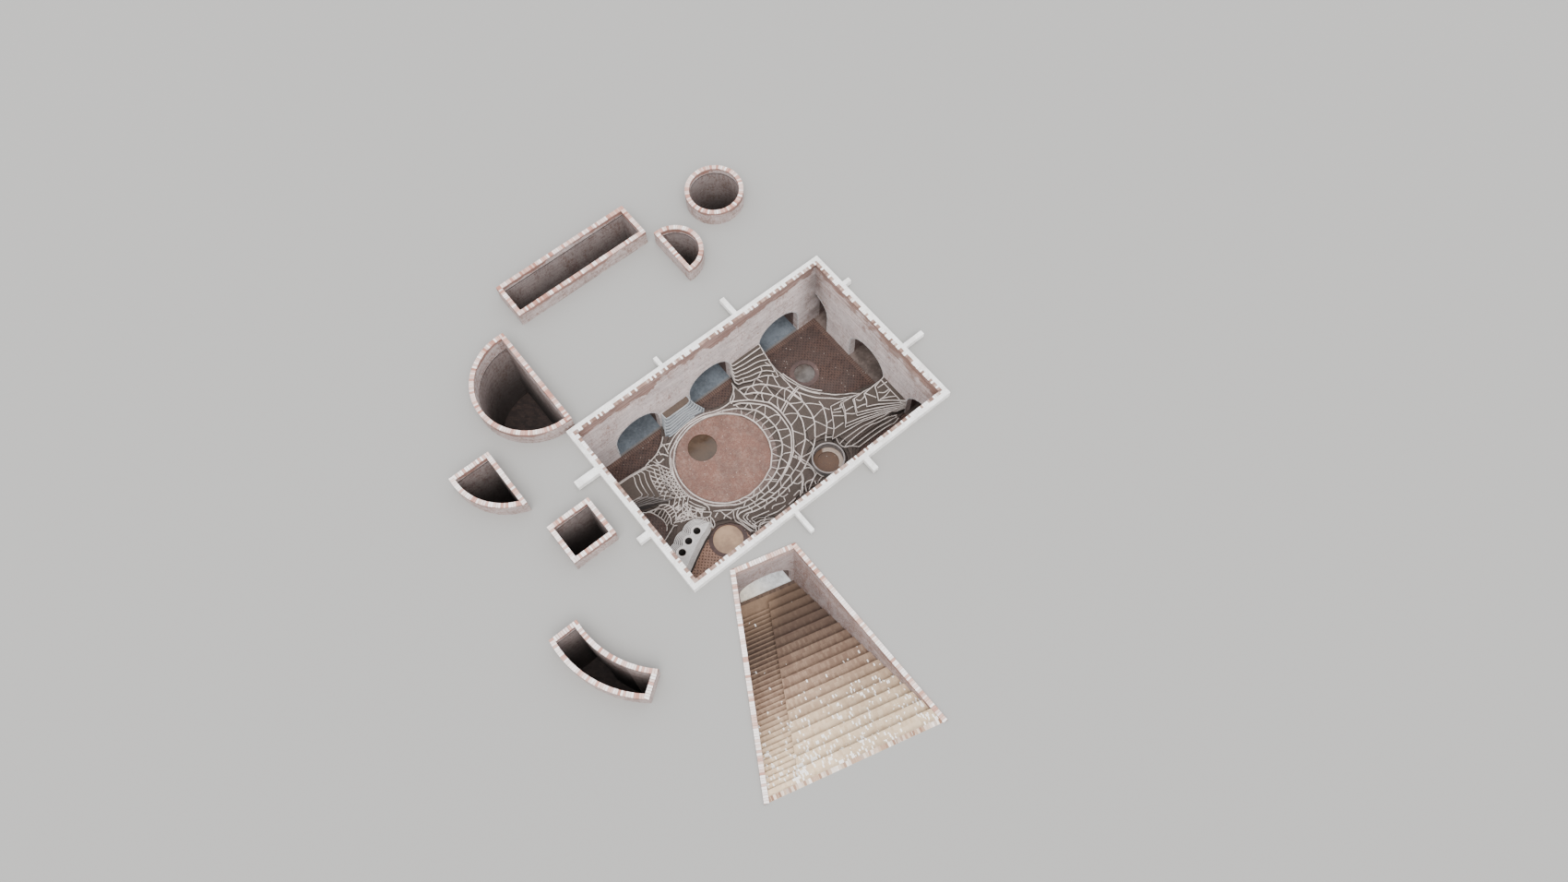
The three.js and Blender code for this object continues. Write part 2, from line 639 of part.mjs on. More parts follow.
// Stair pit walls, and two flights side by side: small steps, in two halves, and seat steps
const CLEAR = SKIN + FIT;
const SMALL_WIDTH = 1514;
const FOOT_EDGE_DEPTH = 500;
const FLIGHT_DEPTH = 700;
const PIT_LENGTH = STAIR_SIDES.end.distance + STAIR_SIDES.foot.distance;
const SMALL_STEPS = {
  count: 34,
  start: 1190,
  left: line('left', CLEAR),
  right: line('left', SKIN + SMALL_WIDTH),
};
const SEAT_STEPS = {
  count: 17,
  start: 900,
  left: line('left', SKIN + SMALL_WIDTH + FIT),
  right: line('right', CLEAR),
};
const HALF_WAY = SMALL_STEPS.count / 2;
const FLIGHTS = {
  small_steps_lower: { ...SMALL_STEPS, first: 0, last: HALF_WAY },
  small_steps_upper: { ...SMALL_STEPS, first: HALF_WAY + 1, last: SMALL_STEPS.count },
  seat_steps: { ...SEAT_STEPS, first: 0, last: SEAT_STEPS.count },
};

// Step 0 is the landing at the foot of the flight; the last one is level with the ground
function flightSolid({ count, start, left, right, first, last }) {
  const run = (PIT_LENGTH - CLEAR - start) / count;
  const rise = (GROUND - FLOOR) / count;
  const treads = Array.from({ length: last - first + 1 }, (unused, index) => {
    const step = first + index;
    const top = FLOOR + step * rise;
    const from = step === 0 ? CLEAR : start + (step - 1) * run;
    const upper = line('end', index === 0 && step > 0 ? from + FIT : from);
    const lower = line('end', start + step * run);
    return prism(between(upper, lower, left, right), Math.max(SLAB_TOP, top - FLIGHT_DEPTH), top);
  });
  return union(treads);
}

for (const [name, flight] of Object.entries(FLIGHTS)) {
  addPiece(stair, name, flightSolid(flight), 'stepBrick');
}

const behindEnd = line('end', CLEAR);
const leftWall = between(behindEnd, line('foot', 0), line('left', 0), line('left', SKIN));
const rightWall = between(behindEnd, line('foot', 0), line('right', SKIN), line('right', 0));
const endWall = between(line('end', 0), line('end', SKIN), line('left', 0), line('right', 0));
const footEdge = between(line('foot', SKIN), line('foot', 0), line('left', CLEAR), line('right', CLEAR));
const tunnelMouth = archTunnel('y', LONG_1, ARCH_RADIUS, 2 * TUNNEL_END, 0);
addPiece(stair, 'stair_left_wall', prism(leftWall, SLAB_TOP, STAIR_RIM), 'brick');
addPiece(stair, 'stair_right_wall', prism(rightWall, SLAB_TOP, STAIR_RIM), 'brick');
addPiece(stair, 'stair_end_wall', prism(endWall, SLAB_TOP, STAIR_RIM).subtract(tunnelMouth), 'brick');
addPiece(stair, 'stair_foot_edge', prism(footEdge, GROUND - FOOT_EDGE_DEPTH, GROUND), 'stepBrick');

// One base slab under the court, the rooms, the wells and the stair
function under(room) {
  const { min, max } = room.shell.boundingBox();
  return box(min[0], max[0], min[1], max[1], 0, SLAB_TOP);
}

const poolBowls = POOLS.map(({ x, y, radius }) => disc(x, y, radius, FLOOR - POOL_DEPTH, COPING));
const slab = union([
  box(0, COURT_X, 0, COURT_Y, 0, SLAB_TOP),
  ...Object.values(ROOMS).map(under),
  under({ shell: linkShell }),
  ...Object.values(WELL_SHAPES).map((shape) => shape(0, 0, SLAB_TOP)),
  prism(pitOutline(0), 0, SLAB_TOP),
]);
addPiece(base, 'base_slab', cut(slab, poolBowls), 'greySlab');

const paving = box(FACE.west, FACE.east, FACE.south, FACE.north, SLAB_TOP, FLOOR);
addPiece(base, 'court_paving', cut(paving, poolBowls), 'redPaving');

// The row's origin is the middle of the underside
const dwelling = new THREE.Group();
const site = new THREE.Group();
site.add(base, court, rooms, wells, stair);
dwelling.add(site);
const bounds = new THREE.Box3().setFromObject(site);
const middle = bounds.getCenter(new THREE.Vector3());
site.position.set(-Math.round(middle.x), -Math.round(middle.y), -bounds.min.z);
export default dwelling;
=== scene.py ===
# Looks for the sunken courtyard dwelling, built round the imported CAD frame.
# Metres, in the row's frame. "Site" points are measured from the court's outer
# south-west corner, x along the long side and y towards the long light well.
import math

import bmesh
import bpy
from mathutils import Matrix, Vector
from mathutils.bvhtree import BVHTree
from mathutils.geometry import tessellate_polygon


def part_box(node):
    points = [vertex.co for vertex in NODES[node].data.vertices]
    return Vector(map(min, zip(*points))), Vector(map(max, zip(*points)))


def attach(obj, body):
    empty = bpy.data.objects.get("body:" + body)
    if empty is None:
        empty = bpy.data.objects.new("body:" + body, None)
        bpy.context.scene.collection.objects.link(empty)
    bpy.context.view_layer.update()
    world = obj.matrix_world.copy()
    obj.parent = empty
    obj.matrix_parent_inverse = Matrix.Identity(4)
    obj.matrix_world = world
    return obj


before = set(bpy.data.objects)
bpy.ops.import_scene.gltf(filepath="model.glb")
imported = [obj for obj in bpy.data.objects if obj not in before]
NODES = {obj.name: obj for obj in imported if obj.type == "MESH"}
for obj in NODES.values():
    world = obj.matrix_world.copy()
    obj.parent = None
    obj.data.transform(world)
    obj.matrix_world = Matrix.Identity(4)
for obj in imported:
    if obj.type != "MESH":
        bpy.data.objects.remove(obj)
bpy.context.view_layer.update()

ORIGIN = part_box("south_wall")[0]

# Levels above the underside of the base slab
FLOOR = 0.28
GROUND = 5.75
STAIR_RIM = 5.85
COPING = 6.2
WELL_RIM = 6.8

# The court in plan: walls, the white band on them, the wells' and the pit's skins, and what stands in the garden
COURT_X = 17.0
COURT_Y = 11.0
WALL = 0.42
BAND = 0.24
SKIN = 0.24
PLAZA = (6.72, 6.8)
PLAZA_RADIUS = 2.75
KERB = 0.32
ARCH_RADIUS = 1.45
SPRING = 1.78
BASINS = (((6.15, 8.08), 0.85), ((13.75, 8.05), 0.62), ((3.9, 2.78), 0.85))
TUB = (11.15, 2.8)
TUB_TOP = FLOOR + 0.67
TUB_BORE = 0.64
WATER = FLOOR - 0.07
WATER_DEPTH = 0.02
LONG_SIDE_ARCHES = (3.65, 8.75, 13.85)
SHORT_SIDE_ARCHES = (0.9, 5.88, 10.86)

# The stair pit: each side's outward direction and its distance from the court's corner, and where the two
# flights start and how far a step of theirs runs, from the end wall
STAIR_SKEW = math.radians(15.4)
LEAN = math.radians(30.1)
PIT_SIDES = {
    "end": ((math.sin(STAIR_SKEW), math.cos(STAIR_SKEW)), 0.341),
    "right": ((1.0, 0.0), 5.46),
    "foot": ((-math.sin(STAIR_SKEW), -math.cos(STAIR_SKEW)), 10.543),
    "left": ((-math.cos(LEAN), math.sin(LEAN)), -1.877),
}
SMALL_FLIGHT = 1.754
SMALL_START, SMALL_RUN = 1.19, 0.27805
SEAT_START, SEAT_RUN = 0.9, 0.5732

# Bricks of the region: 240 by 115 by 53 mm with 10 mm joints
BRICK_PITCH = 0.25
HEADER_PITCH = 0.125
HEADER_WIDTH = 0.115
HEADER_HEIGHT = 0.07
COURSE = 0.063
JOINT = 0.006
WORN_EDGE = 0.004
SOLDIER_ROW = 0.27
SOLDIER_PITCH = 0.13


def site(x, y, z=0.0):
    return Vector((x + ORIGIN.x, y + ORIGIN.y, z))


COURT_LOW, COURT_HIGH = site(WALL, WALL), site(COURT_X - WALL, COURT_Y - WALL)


def tint(code):
    """A six-digit colour code in the linear values that shaders read"""
    def channel(start):
        value = int(code[start:start + 2], 16) / 255
        return value / 12.92 if value <= 0.04045 else ((value + 0.055) / 1.055) ** 2.4
    return (channel(0), channel(2), channel(4), 1.0)


class Wiring:
    """Adds and joins nodes in one shader or geometry tree"""

    def __init__(self, tree):
        self.tree = tree

    def add(self, kind, inputs=None, **settings):
        node = self.tree.nodes.new(kind)
        for name, value in settings.items():
            setattr(node, name, value)
        for name, value in (inputs or {}).items():
            self.feed(node.inputs[name], value)
        return node

    def first(self, kind, inputs=None, **settings):
        """The first outlet of a new node"""
        return self.add(kind, inputs, **settings).outputs[0]

    def feed(self, socket, value):
        """Joins a socket to another or sets it; a colour may be given as its six-digit code"""
        if isinstance(value, bpy.types.NodeSocket):
            self.tree.links.new(value, socket)
        elif isinstance(value, str) and socket.type == "RGBA":
            socket.default_value = tint(value)
        else:
            socket.default_value = value

    def math(self, operation, *values):
        return self.first("ShaderNodeMath", dict(enumerate(values)), operation=operation)

    def times(self, *factors):
        product = factors[0]
        for factor in factors[1:]:
            product = self.math("MULTIPLY", product, factor)
        return product

    def plus(self, first, second):
        return self.math("ADD", first, second)

    def minus(self, first, second):
        return self.math("SUBTRACT", first, second)

    def divide(self, value, by):
        return self.math("DIVIDE", value, by)

    def above(self, value, limit):
        """1 where a number is over a limit, else 0"""
        return self.math("GREATER_THAN", value, limit)

    def below(self, value, limit):
        return self.math("LESS_THAN", value, limit)

    def mix(self, factor, low, high):
        """Between two numbers"""
        return self.first("ShaderNodeMix", {0: factor, 2: low, 3: high}, data_type="FLOAT")

    def blend(self, factor, low, high):
        """Between two colours; codes will do"""
        return self.add("ShaderNodeMix", {0: factor, 6: low, 7: high}, data_type="RGBA").outputs[2]

    def noise(self, vector, scale, detail=3.0, roughness=0.5):
        inputs = {"Vector": vector, "Scale": scale, "Detail": detail, "Roughness": roughness}
        return self.add("ShaderNodeTexNoise", inputs).outputs["Fac"]

    def ramp(self, value, low, high, to_low=0.0, to_high=1.0):
        """A smooth change from one number to another between two limits"""
        inputs = {"Value": value, 1: low, 2: high, 3: to_low, 4: to_high}
        return self.first("ShaderNodeMapRange", inputs, interpolation_type="SMOOTHSTEP")

    def ease(self, tone, start, end):
        """From one number to another as a tone goes from 0 to 1"""
        return self.ramp(tone, 0.0, 1.0, start, end)

    def off_middle(self, value):
        """How far a number is from the middle between the whole numbers round it"""
        return self.math("ABSOLUTE", self.minus(self.math("FRACT", value), 0.5))

    def between(self, value, low, high):
        return self.times(self.above(value, low), self.below(value, high))

    def cover(self, colour, code, *masks):
        """A colour covered by another where all the masks are high"""
        return self.blend(self.times(*masks), colour, code)

    def split(self, vector):
        return self.add("ShaderNodeSeparateXYZ", {0: vector}).outputs

    def join(self, x, y, z=0.0):
        return self.first("ShaderNodeCombineXYZ", {0: x, 1: y, 2: z})

    def place(self, vector, scale=(1, 1, 1), turn=0.0, shift=(0, 0, 0)):
        inputs = {"Vector": vector, "Location": shift, "Rotation": (0, 0, turn), "Scale": scale}
        return self.first("ShaderNodeMapping", inputs)

    def position(self):
        return self.add("ShaderNodeTexCoord").outputs["Object"]

    def effect(self, name, **values):
        """One of the shared effects, placed with its own values"""
        node = self.add("ShaderNodeGroup", node_tree=EFFECTS[name])
        for label, value in values.items():
            self.feed(node.inputs[label], value)
        return node.outputs

    def weathered(self, position, scale=1.0):
        return self.effect("weathering", Vector=position, Scale=scale)["Tone"]

    def distance(self, position, point):
        """In plan, from a point"""
        return self.effect("away_from", Vector=position, X=point.x, Y=point.y)["Distance"]

    def facing(self):
        """The face's own normal, as three numbers"""
        return self.split(self.add("ShaderNodeNewGeometry").outputs["True Normal"])


SOCKETS = {float: "Float", int: "Int", tuple: "Vector"}


def new_group(name, inputs, outputs, kind="ShaderNodeTree"):
    """A node group whose inputs are named with their default values, or with a type of socket, and its outputs
    with types; returns its wiring, its inlets and its outlet node's sockets"""
    tree = bpy.data.node_groups.new(name, kind)
    for label, value in inputs.items():
        socket = value if isinstance(value, str) else SOCKETS[type(value)]
        item = tree.interface.new_socket(label, in_out="INPUT", socket_type="NodeSocket" + socket)
        if socket != value:
            item.default_value = value
    for label, socket in outputs.items():
        tree.interface.new_socket(label, in_out="OUTPUT", socket_type="NodeSocket" + socket)
    inlets = tree.nodes.new("NodeGroupInput").outputs
    outlets = tree.nodes.new("NodeGroupOutput").inputs
    return Wiring(tree), inlets, outlets


# ---- Effects that several finishes share ----

EFFECTS = {}


def shared_effect(inputs, outputs):
    """Makes a node group of a function, which is given the inlets and returns what the outlets give"""
    def build(wire):
        w, inlets, outlets = new_group(wire.__name__, inputs, outputs)
        for label, value in zip(outputs, wire(w, *[inlets[label] for label in inputs])):
            w.feed(outlets[label], value)
        EFFECTS[wire.__name__] = w.tree
    return build


@shared_effect({}, {"Vector": "Vector", "Level": "Float"})
def face_coordinates(w):
    """Metres along and up each flat face: plan axes on level faces"""
    x, y, z = w.split(w.position())[:3]
    nx, ny, nz = w.facing()[:3]
    level = w.above(w.math("ABSOLUTE", nz), 0.7)
    along = w.minus(w.times(y, nx), w.times(x, ny))
    return w.join(w.mix(level, along, x), w.mix(level, z, y)), level


@shared_effect({"X": 0.0, "Y": 0.0, "Radius": 1.0}, {"Vector": "Vector"})
def round_coordinates(w, middle_x, middle_y, radius):
    """Metres round and up a curved shaft"""
    x, y, z = w.split(w.position())[:3]
    angle = w.math("ARCTAN2", w.minus(y, middle_y), w.minus(x, middle_x))
    return [w.join(w.times(angle, radius), z)]


@shared_effect({"Vector": "Vector", "Length": BRICK_PITCH, "Course": COURSE, "Joint": JOINT},
               {"Tone": "Float", "Joint": "Float", "Height": "Float"})
def brick_bond(w, vector, length, course, joint):
    """Courses of brick: a tone for each brick, the joints, and a height for bump"""
    wobble = w.times(w.noise(vector, 9.0, 1.0), 0.006)
    shifted = w.first("ShaderNodeVectorMath", {0: vector, 1: w.join(0.0, wobble)}, operation="ADD")
    bricks = w.add("ShaderNodeTexBrick", {
        "Vector": shifted, "Color1": (0, 0, 0, 1), "Color2": (1, 1, 1, 1), "Mortar": (0.5, 0.5, 0.5, 1), "Scale": 1.0,
        "Mortar Size": joint, "Mortar Smooth": 0.2, "Bias": 0.0, "Brick Width": length, "Row Height": course}).outputs
    roughness = w.times(w.noise(vector, 60.0, 2.0), 0.35)
    tone = w.first("ShaderNodeSeparateColor", {0: bricks["Color"]})
    return tone, bricks["Fac"], w.minus(roughness, bricks["Fac"])


@shared_effect({"Vector": "Vector", "Amount": 0.5}, {"Mask": "Float"})
def salt_bloom(w, vector, amount):
    """Pale salts that creep over brick in patches, with upright streaks and a speckle of bricks"""
    patches = w.noise(vector, 0.6, 5.0, 0.6)
    streaks = w.noise(w.place(vector, (2.2, 2.2, 0.5)), 1.4, 4.0, 0.6)
    flecks = w.noise(w.place(vector, (1.0, 1.0, 0.6)), 8.5, 2.0, 0.75)
    spread = w.plus(w.times(patches, 0.5), w.times(streaks, 0.5))
    reach = w.minus(spread, w.minus(0.76, w.times(amount, 0.5)))
    return [w.ramp(w.plus(reach, w.times(w.minus(flecks, 0.5), 0.95)), -0.16, 0.2)]


@shared_effect({"Vector": "Vector", "Rim": COPING, "Depth": 0.8}, {"Mask": "Float"})
def damp_edge(w, vector, rim, depth):
    """The redder, washed strip under a rim, with a ragged lower edge"""
    slow = w.noise(w.place(vector, (1, 1, 0.25)), 0.45, 3.0, 0.6)
    quick = w.noise(w.place(vector, (1, 1, 2.5)), 3.0, 3.0, 0.6)
    wander = w.plus(w.ramp(slow, 0.3, 0.7, 0.35, 1.7), w.ramp(quick, 0.3, 0.7, -0.2, 0.2))
    below = w.minus(rim, w.split(vector)[2])
    return [w.ramp(w.minus(w.times(depth, wander), below), -0.05, 0.07)]


@shared_effect({"Vector": "Vector", "Scale": 1.0}, {"Tone": "Float"})
def weathering(w, vector, scale):
    """Slow and quick changes of tone, from 0 to 1"""
    scaled = w.first("ShaderNodeVectorMath", {0: vector, "Scale": scale}, operation="SCALE")
    slow = w.noise(scaled, 0.8, 4.0, 0.6)
    quick = w.noise(scaled, 7.0, 4.0, 0.65)
    return [w.ramp(w.plus(w.times(slow, 0.6), w.times(quick, 0.4)), 0.32, 0.68)]


@shared_effect({"Vector": "Vector", "Scale": 30.0, "Amount": 0.2}, {"Mask": "Float"})
def grit(w, vector, scale, amount):
    """Small stones and salt specks"""
    cells = w.add("ShaderNodeTexVoronoi", {"Vector": vector, "Scale": scale}, feature="F1").outputs
    chosen = w.below(w.split(cells["Color"])[0], amount)
    return [w.times(chosen, w.ramp(cells["Distance"], 0.2, 0.45, 1.0, 0.0))]


@shared_effect({"Vector": "Vector", "Length": 0.24, "Row": 0.12}, {"Mask": "Float"})
def open_joints(w, vector, length, row_height):
    """Gaps left between the ends of paving bricks, staggered from row to row"""
    x, y = w.split(vector)[:2]
    row = w.divide(y, row_height)
    odd = w.math("FLOORED_MODULO", w.math("FLOOR", row), 2.0)
    off_x = w.off_middle(w.plus(w.divide(x, length), w.times(odd, 0.5)))
    return [w.times(w.ramp(off_x, 0.1, 0.19, 1.0, 0.0), w.ramp(w.off_middle(row), 0.26, 0.42, 1.0, 0.0))]


@shared_effect({"Vector": "Vector", "X": 0.0, "Y": 0.0}, {"Distance": "Float"})
def away_from(w, vector, point_x, point_y):
    """Distance in plan from a point"""
    x, y = w.split(vector)[:2]
    across, along = w.minus(x, point_x), w.minus(y, point_y)
    return [w.math("SQRT", w.plus(w.times(across, across), w.times(along, along)))]


# ---- Finishes ----

class Finish(Wiring):
    """A material's wiring round one Principled shader"""

    def __init__(self, name):
        self.material = bpy.data.materials.new(name)
        self.material.use_nodes = True
        super().__init__(self.material.node_tree)
        self.tree.nodes.clear()
        self.shader = self.add("ShaderNodeBsdfPrincipled")
        self.add("ShaderNodeOutputMaterial", {"Surface": self.shader.outputs[0]})

    def surface(self, colour, roughness, height=None, relief=0.004, strength=0.6):
        """Sets what shows, and returns the finished material"""
        self.feed(self.shader.inputs["Base Color"], colour)
        self.feed(self.shader.inputs["Roughness"], roughness)
        if height is not None:
            bump = self.add("ShaderNodeBump", {"Height": height, "Distance": relief, "Strength": strength})
            self.feed(self.shader.inputs["Normal"], bump.outputs[0])
        return self.material


def masonry(name, dark, light, joint, salts, amount, rim, damp_depth, damp_colour="9a6a5c", centre=None,
            lines=0.0, stripes=False, stained=False, corner_grime_and_shade=False):
    """Coursed brick with blooming salts and a washed strip under its rim. Lines is how strongly single courses
    stand out near the rim; stripes are the end wall's bands, stained is for the east wall's brown stains."""
    w = Finish(name)
    position = w.position()
    z = w.split(position)[2]
    if centre is None:
        lay = w.effect("face_coordinates")["Vector"]
    else:
        x, y, radius = centre
        middle = site(x, y)
        lay = w.effect("round_coordinates", X=middle.x, Y=middle.y, Radius=radius)["Vector"]
    bond = w.effect("brick_bond", Vector=lay)
    weather = w.weathered(position)
    bloom = w.effect("salt_bloom", Vector=position, Amount=amount)["Mask"]
    damp = w.effect("damp_edge", Vector=position, Rim=rim, Depth=damp_depth)["Mask"]
    coursing = w.noise(w.place(position, (0.5, 0.5, 11.0)), 1.3, 3.0, 0.7)
    colour = w.blend(bond["Tone"], dark, light)
    colour = w.cover(colour, joint, bond["Joint"], 0.55)
    pale = w.times(bloom, w.minus(1.0, w.times(damp, 0.85)))
    colour = w.cover(colour, salts, pale, 0.85)
    colour = w.cover(colour, damp_colour, damp, w.ease(bond["Tone"], 0.55, 0.9))
    colour = w.cover(colour, "6b4f47", w.ramp(coursing, 0.42, 0.66, 0.0, 0.34))
    if lines:
        rows = w.noise(w.place(position, (0.22, 0.22, 6.0)), 1.5, 3.0, 0.65)
        reach = w.ramp(z, rim - 2.4, rim - 0.6, 0.0, lines)
        colour = w.cover(colour, "8a6557", w.ramp(rows, 0.52, 0.6), reach)
        colour = w.cover(colour, "cdb0a3", w.ramp(rows, 0.48, 0.4), reach)
    if stripes:
        down = w.minus(rim, z)
        row = w.math("FRACT", w.divide(down, 0.17))
        top = w.ramp(down, 0.5, 0.7, 1.0, 0.0)
        colour = w.cover(colour, "9a6252", top, w.below(row, 0.45), 0.75)
        colour = w.cover(colour, "e2cfc6", top, w.above(row, 0.55), 0.7)
    # Darker patches towards the court's north-east inner corner: partly grime, partly painted shade of the corner
    if corner_grime_and_shade:
        away = w.distance(position, COURT_HIGH)
        patchy = w.ramp(w.noise(position, 1.1, 3.0), 0.3, 0.65, 0.5, 1.0)
        colour = w.cover(colour, "4c3d37", w.ramp(away, 0.1, 1.6, 0.68, 0.0), patchy)
    if stained:
        stains = w.noise(w.place(position, (1.0, 1.0, 0.8)), 1.15, 4.0, 0.62)
        southern = w.ramp(w.split(position)[1], site(0, 3.0).y, site(0, 8.5).y, 0.12, -0.02)
        depth = w.ramp(z, rim - 1.75, rim - 0.25, 0.0, 0.1)
        spread = w.ramp(w.plus(stains, w.plus(southern, depth)), 0.56, 0.72)
        stain = w.blend(bond["Tone"], "7a594c", "9b7969")
        colour = w.cover(colour, stain, spread, w.ramp(z, rim - 2.1, rim - 1.2), 0.72)
    colour = w.cover(colour, "3a2c26", w.ease(weather, 0.22, 0.0))
    w.surface(colour, w.ease(weather, 0.95, 0.82), bond["Height"])
    return w, colour


def well_masonry(name, centre, middle, ledge, painted_shade):
    """A light well's shaft: paler brick down to a painted ledge line under the rim, with painted shade inside that
    darkens it lower down, and outside brown streaks, partly weathering and partly painted shade"""
    w, colour = masonry(name + "_brick", "7d6056", "a1867c", "84706a", "c3b5b1", 0.72, WELL_RIM, 0.2, "8a5d50",
                        centre)
    position = w.position()
    x, y, z = w.split(position)[:3]
    nx, ny = w.facing()[:2]
    inner = site(*middle)
    outward = w.plus(w.times(nx, w.minus(x, inner.x)), w.times(ny, w.minus(y, inner.y)))
    outside = w.above(outward, 0.02)
    inside = w.minus(1.0, outside)
    # Outside: brown streaks, partly weathering and partly painted shade that darkens the outer faces
    streaks = w.noise(w.place(position, (0.4, 0.4, 9.0)), 1.6, 3.0, 0.7)
    colour = w.cover(colour, "6b5951", outside, w.ramp(streaks, 0.35, 0.65, 0.03, 0.28))
    # Inside: painted shade, growing towards the bottom and weaker above the ledge line
    low, high, strongest = painted_shade
    edge = WELL_RIM - ledge
    under = w.ramp(z, edge, edge + 0.02, 1.0, 0.3)
    colour = w.cover(colour, "26211f", inside, under, w.ramp(z, low, high, strongest, 0.0))
    # Below the ledge line the inside is painted darker, with a thin painted shadow line just under it
    colour = w.cover(colour, "3a302c", inside, w.ramp(z, edge - 0.03, edge, 0.45, 0.0))
    colour = w.cover(colour, "1d1715", inside, w.between(z, edge - 0.08, edge), 0.8)
    w.feed(w.shader.inputs["Base Color"], colour)
    return w.material


def rim_brick(name, stops, patches, pale="efe6e1", share=(0.44, 0.56)):
    """Headers on a rim: as fired, pink, and nearly white where salts have bloomed over a few together"""
    w = Finish(name)
    position = w.position()
    tone = w.add("ShaderNodeAttribute", attribute_name="tone").outputs["Fac"]
    soft = w.noise(position, 26.0, 3.0, 0.6)
    value = w.plus(tone, w.times(w.minus(soft, 0.5), 0.35))
    ramp = w.add("ShaderNodeValToRGB", {"Fac": value})
    while len(ramp.color_ramp.elements) < len(stops):
        ramp.color_ramp.elements.new(0.5)
    for element, (place, code) in zip(ramp.color_ramp.elements, stops):
        element.position = place
        element.color = tint(code)
    group = w.add("ShaderNodeAttribute", attribute_name="patch").outputs["Fac"]
    bloom = w.ramp(w.plus(group, w.times(w.minus(tone, 0.5), 0.12)), *share)
    colour = w.blend(w.times(bloom, patches), ramp.outputs["Color"], pale)
    return w.surface(colour, w.ramp(soft, 0.3, 0.7, 0.8, 0.95), w.noise(position, 90.0, 3.0), 0.002)


def white_concrete():
    """Cast bands: smooth and nearly white, with faint stains and board marks"""
    w = Finish("white_concrete")
    position = w.position()
    weather = w.weathered(position, 1.6)
    streak = w.noise(w.place(position, (6.0, 6.0, 0.8)), 2.0, 3.0)
    colour = w.blend(weather, "cfcac4", "f4f2ef")
    colour = w.cover(colour, "b3aba2", w.ramp(streak, 0.55, 0.8, 0.0, 0.35))
    pits = w.effect("grit", Vector=position, Scale=24.0, Amount=0.15)["Mask"]
    colour = w.cover(colour, "9b948c", pits, 0.3)
    height = w.minus(w.noise(position, 35.0, 3.0), w.times(pits, 0.5))
    return w.surface(colour, w.ease(weather, 0.9, 0.7), height, 0.002, 0.4)


def tub_render():
    """The round tub: grey trowelled sides and rim, a bench that is clean on one side and earthy on the rest"""
    w = Finish("tub_render")
    position = w.position()
    x, y, z = w.split(position)[:3]
    middle = site(*TUB)
    weather = w.weathered(position, 1.8)
    away = w.distance(position, middle)
    colour = w.blend(weather, "5f5a59", "86807d")
    rim = w.ramp(z, TUB_TOP - 0.03, TUB_TOP - 0.01)
    colour = w.cover(colour, w.blend(weather, "7f7875", "a09793"), rim)
    bearing = w.math("ARCTAN2", w.minus(y, middle.y), w.minus(x, middle.x))
    wander = w.plus(bearing, w.times(w.noise(position, 2.5), 0.5))
    clean = w.times(w.ramp(wander, -0.9, -0.7), w.ramp(wander, 1.4, 1.65, 1.0, 0.0))
    inside = w.below(away, TUB_BORE + 0.24)
    bench = w.times(inside, w.ramp(z, FLOOR + 0.16, FLOOR + 0.1))
    bench_colour = w.blend(clean, "5f493b", w.blend(weather, "a08d7f", "bcab9d"))
    colour = w.cover(colour, bench_colour, bench)
    silt = w.times(inside, w.ramp(z, FLOOR + 0.07, FLOOR + 0.04))
    colour = w.cover(colour, "4e392d", silt)
    return w.surface(colour, w.ease(weather, 0.9, 0.72), w.noise(position, 30.0, 3.0), 0.003, 0.4)


# Where the wells' floors lie on the slab: the limits along x, and the lowest y
FAR = 99.0
WELL_FLOORS = ((-FAR, FAR, 17.9), (-FAR, -1.05, -FAR), (10.4, FAR, 16.2), (-FAR, 0.6, 11.3), (10.5, 12.35, 14.3))


def slab_floors():
    """The base slab's top, as it shows: blue-grey rooms, a brown-grey east room, a pale tunnel, dark brick in
    the wells, silt in the basins"""
    w = Finish("slab_floors")
    position = w.position()
    x, y = w.split(position)[:2]
    low, high = COURT_LOW, COURT_HIGH
    weather = w.weathered(position, 0.9)
    swirl = w.noise(position, 3.5, 5.0, 0.7)
    rooms = w.blend(weather, "525960", "6a7178")
    rooms = w.cover(rooms, "7c8186", w.ramp(swirl, 0.5, 0.75, 0.0, 0.4))
    edge = w.between(y, high.y - 0.03, high.y + 0.15)
    rooms = w.cover(rooms, "6d6661", edge, 0.8)
    east = w.blend(weather, "584a43", "776861")
    east = w.cover(east, "82746c", w.ramp(swirl, 0.5, 0.75, 0.0, 0.5))
    colour = w.blend(w.above(x, high.x), rooms, east)
    tunnel = w.times(w.below(y, low.y), w.between(x, low.x, site(5.3, 0).x))
    rightwards = w.ramp(x, site(2.2, 0).x, site(4.6, 0).x)
    pale_floor = w.blend(rightwards, "eee2cc", "dcdfe0")
    colour = w.cover(colour, w.blend(w.ease(weather, 0.3, 0.0), pale_floor, "a39d92"), tunnel)
    brick = w.effect("brick_bond", Vector=w.place(position, turn=math.radians(45)), Course=HEADER_PITCH)
    bed = w.blend(brick["Tone"], "2f2320", "46352f")
    bed = w.cover(bed, "1a1311", brick["Joint"], 0.7)
    for west, east_end, south in WELL_FLOORS:
        start, end = site(west, south), site(east_end, south)
        colour = w.cover(colour, bed, w.between(x, start.x, end.x), w.above(y, start.y))
    colour = w.cover(colour, "4a3a2c", w.between(x, low.x, high.x), w.between(y, low.y, high.y))
    colour = w.cover(colour, "2a2523", w.ease(weather, 0.3, 0.0))
    return w.surface(colour, w.ease(weather, 0.75, 0.55), w.noise(position, 18.0, 4.0), 0.002, 0.35)


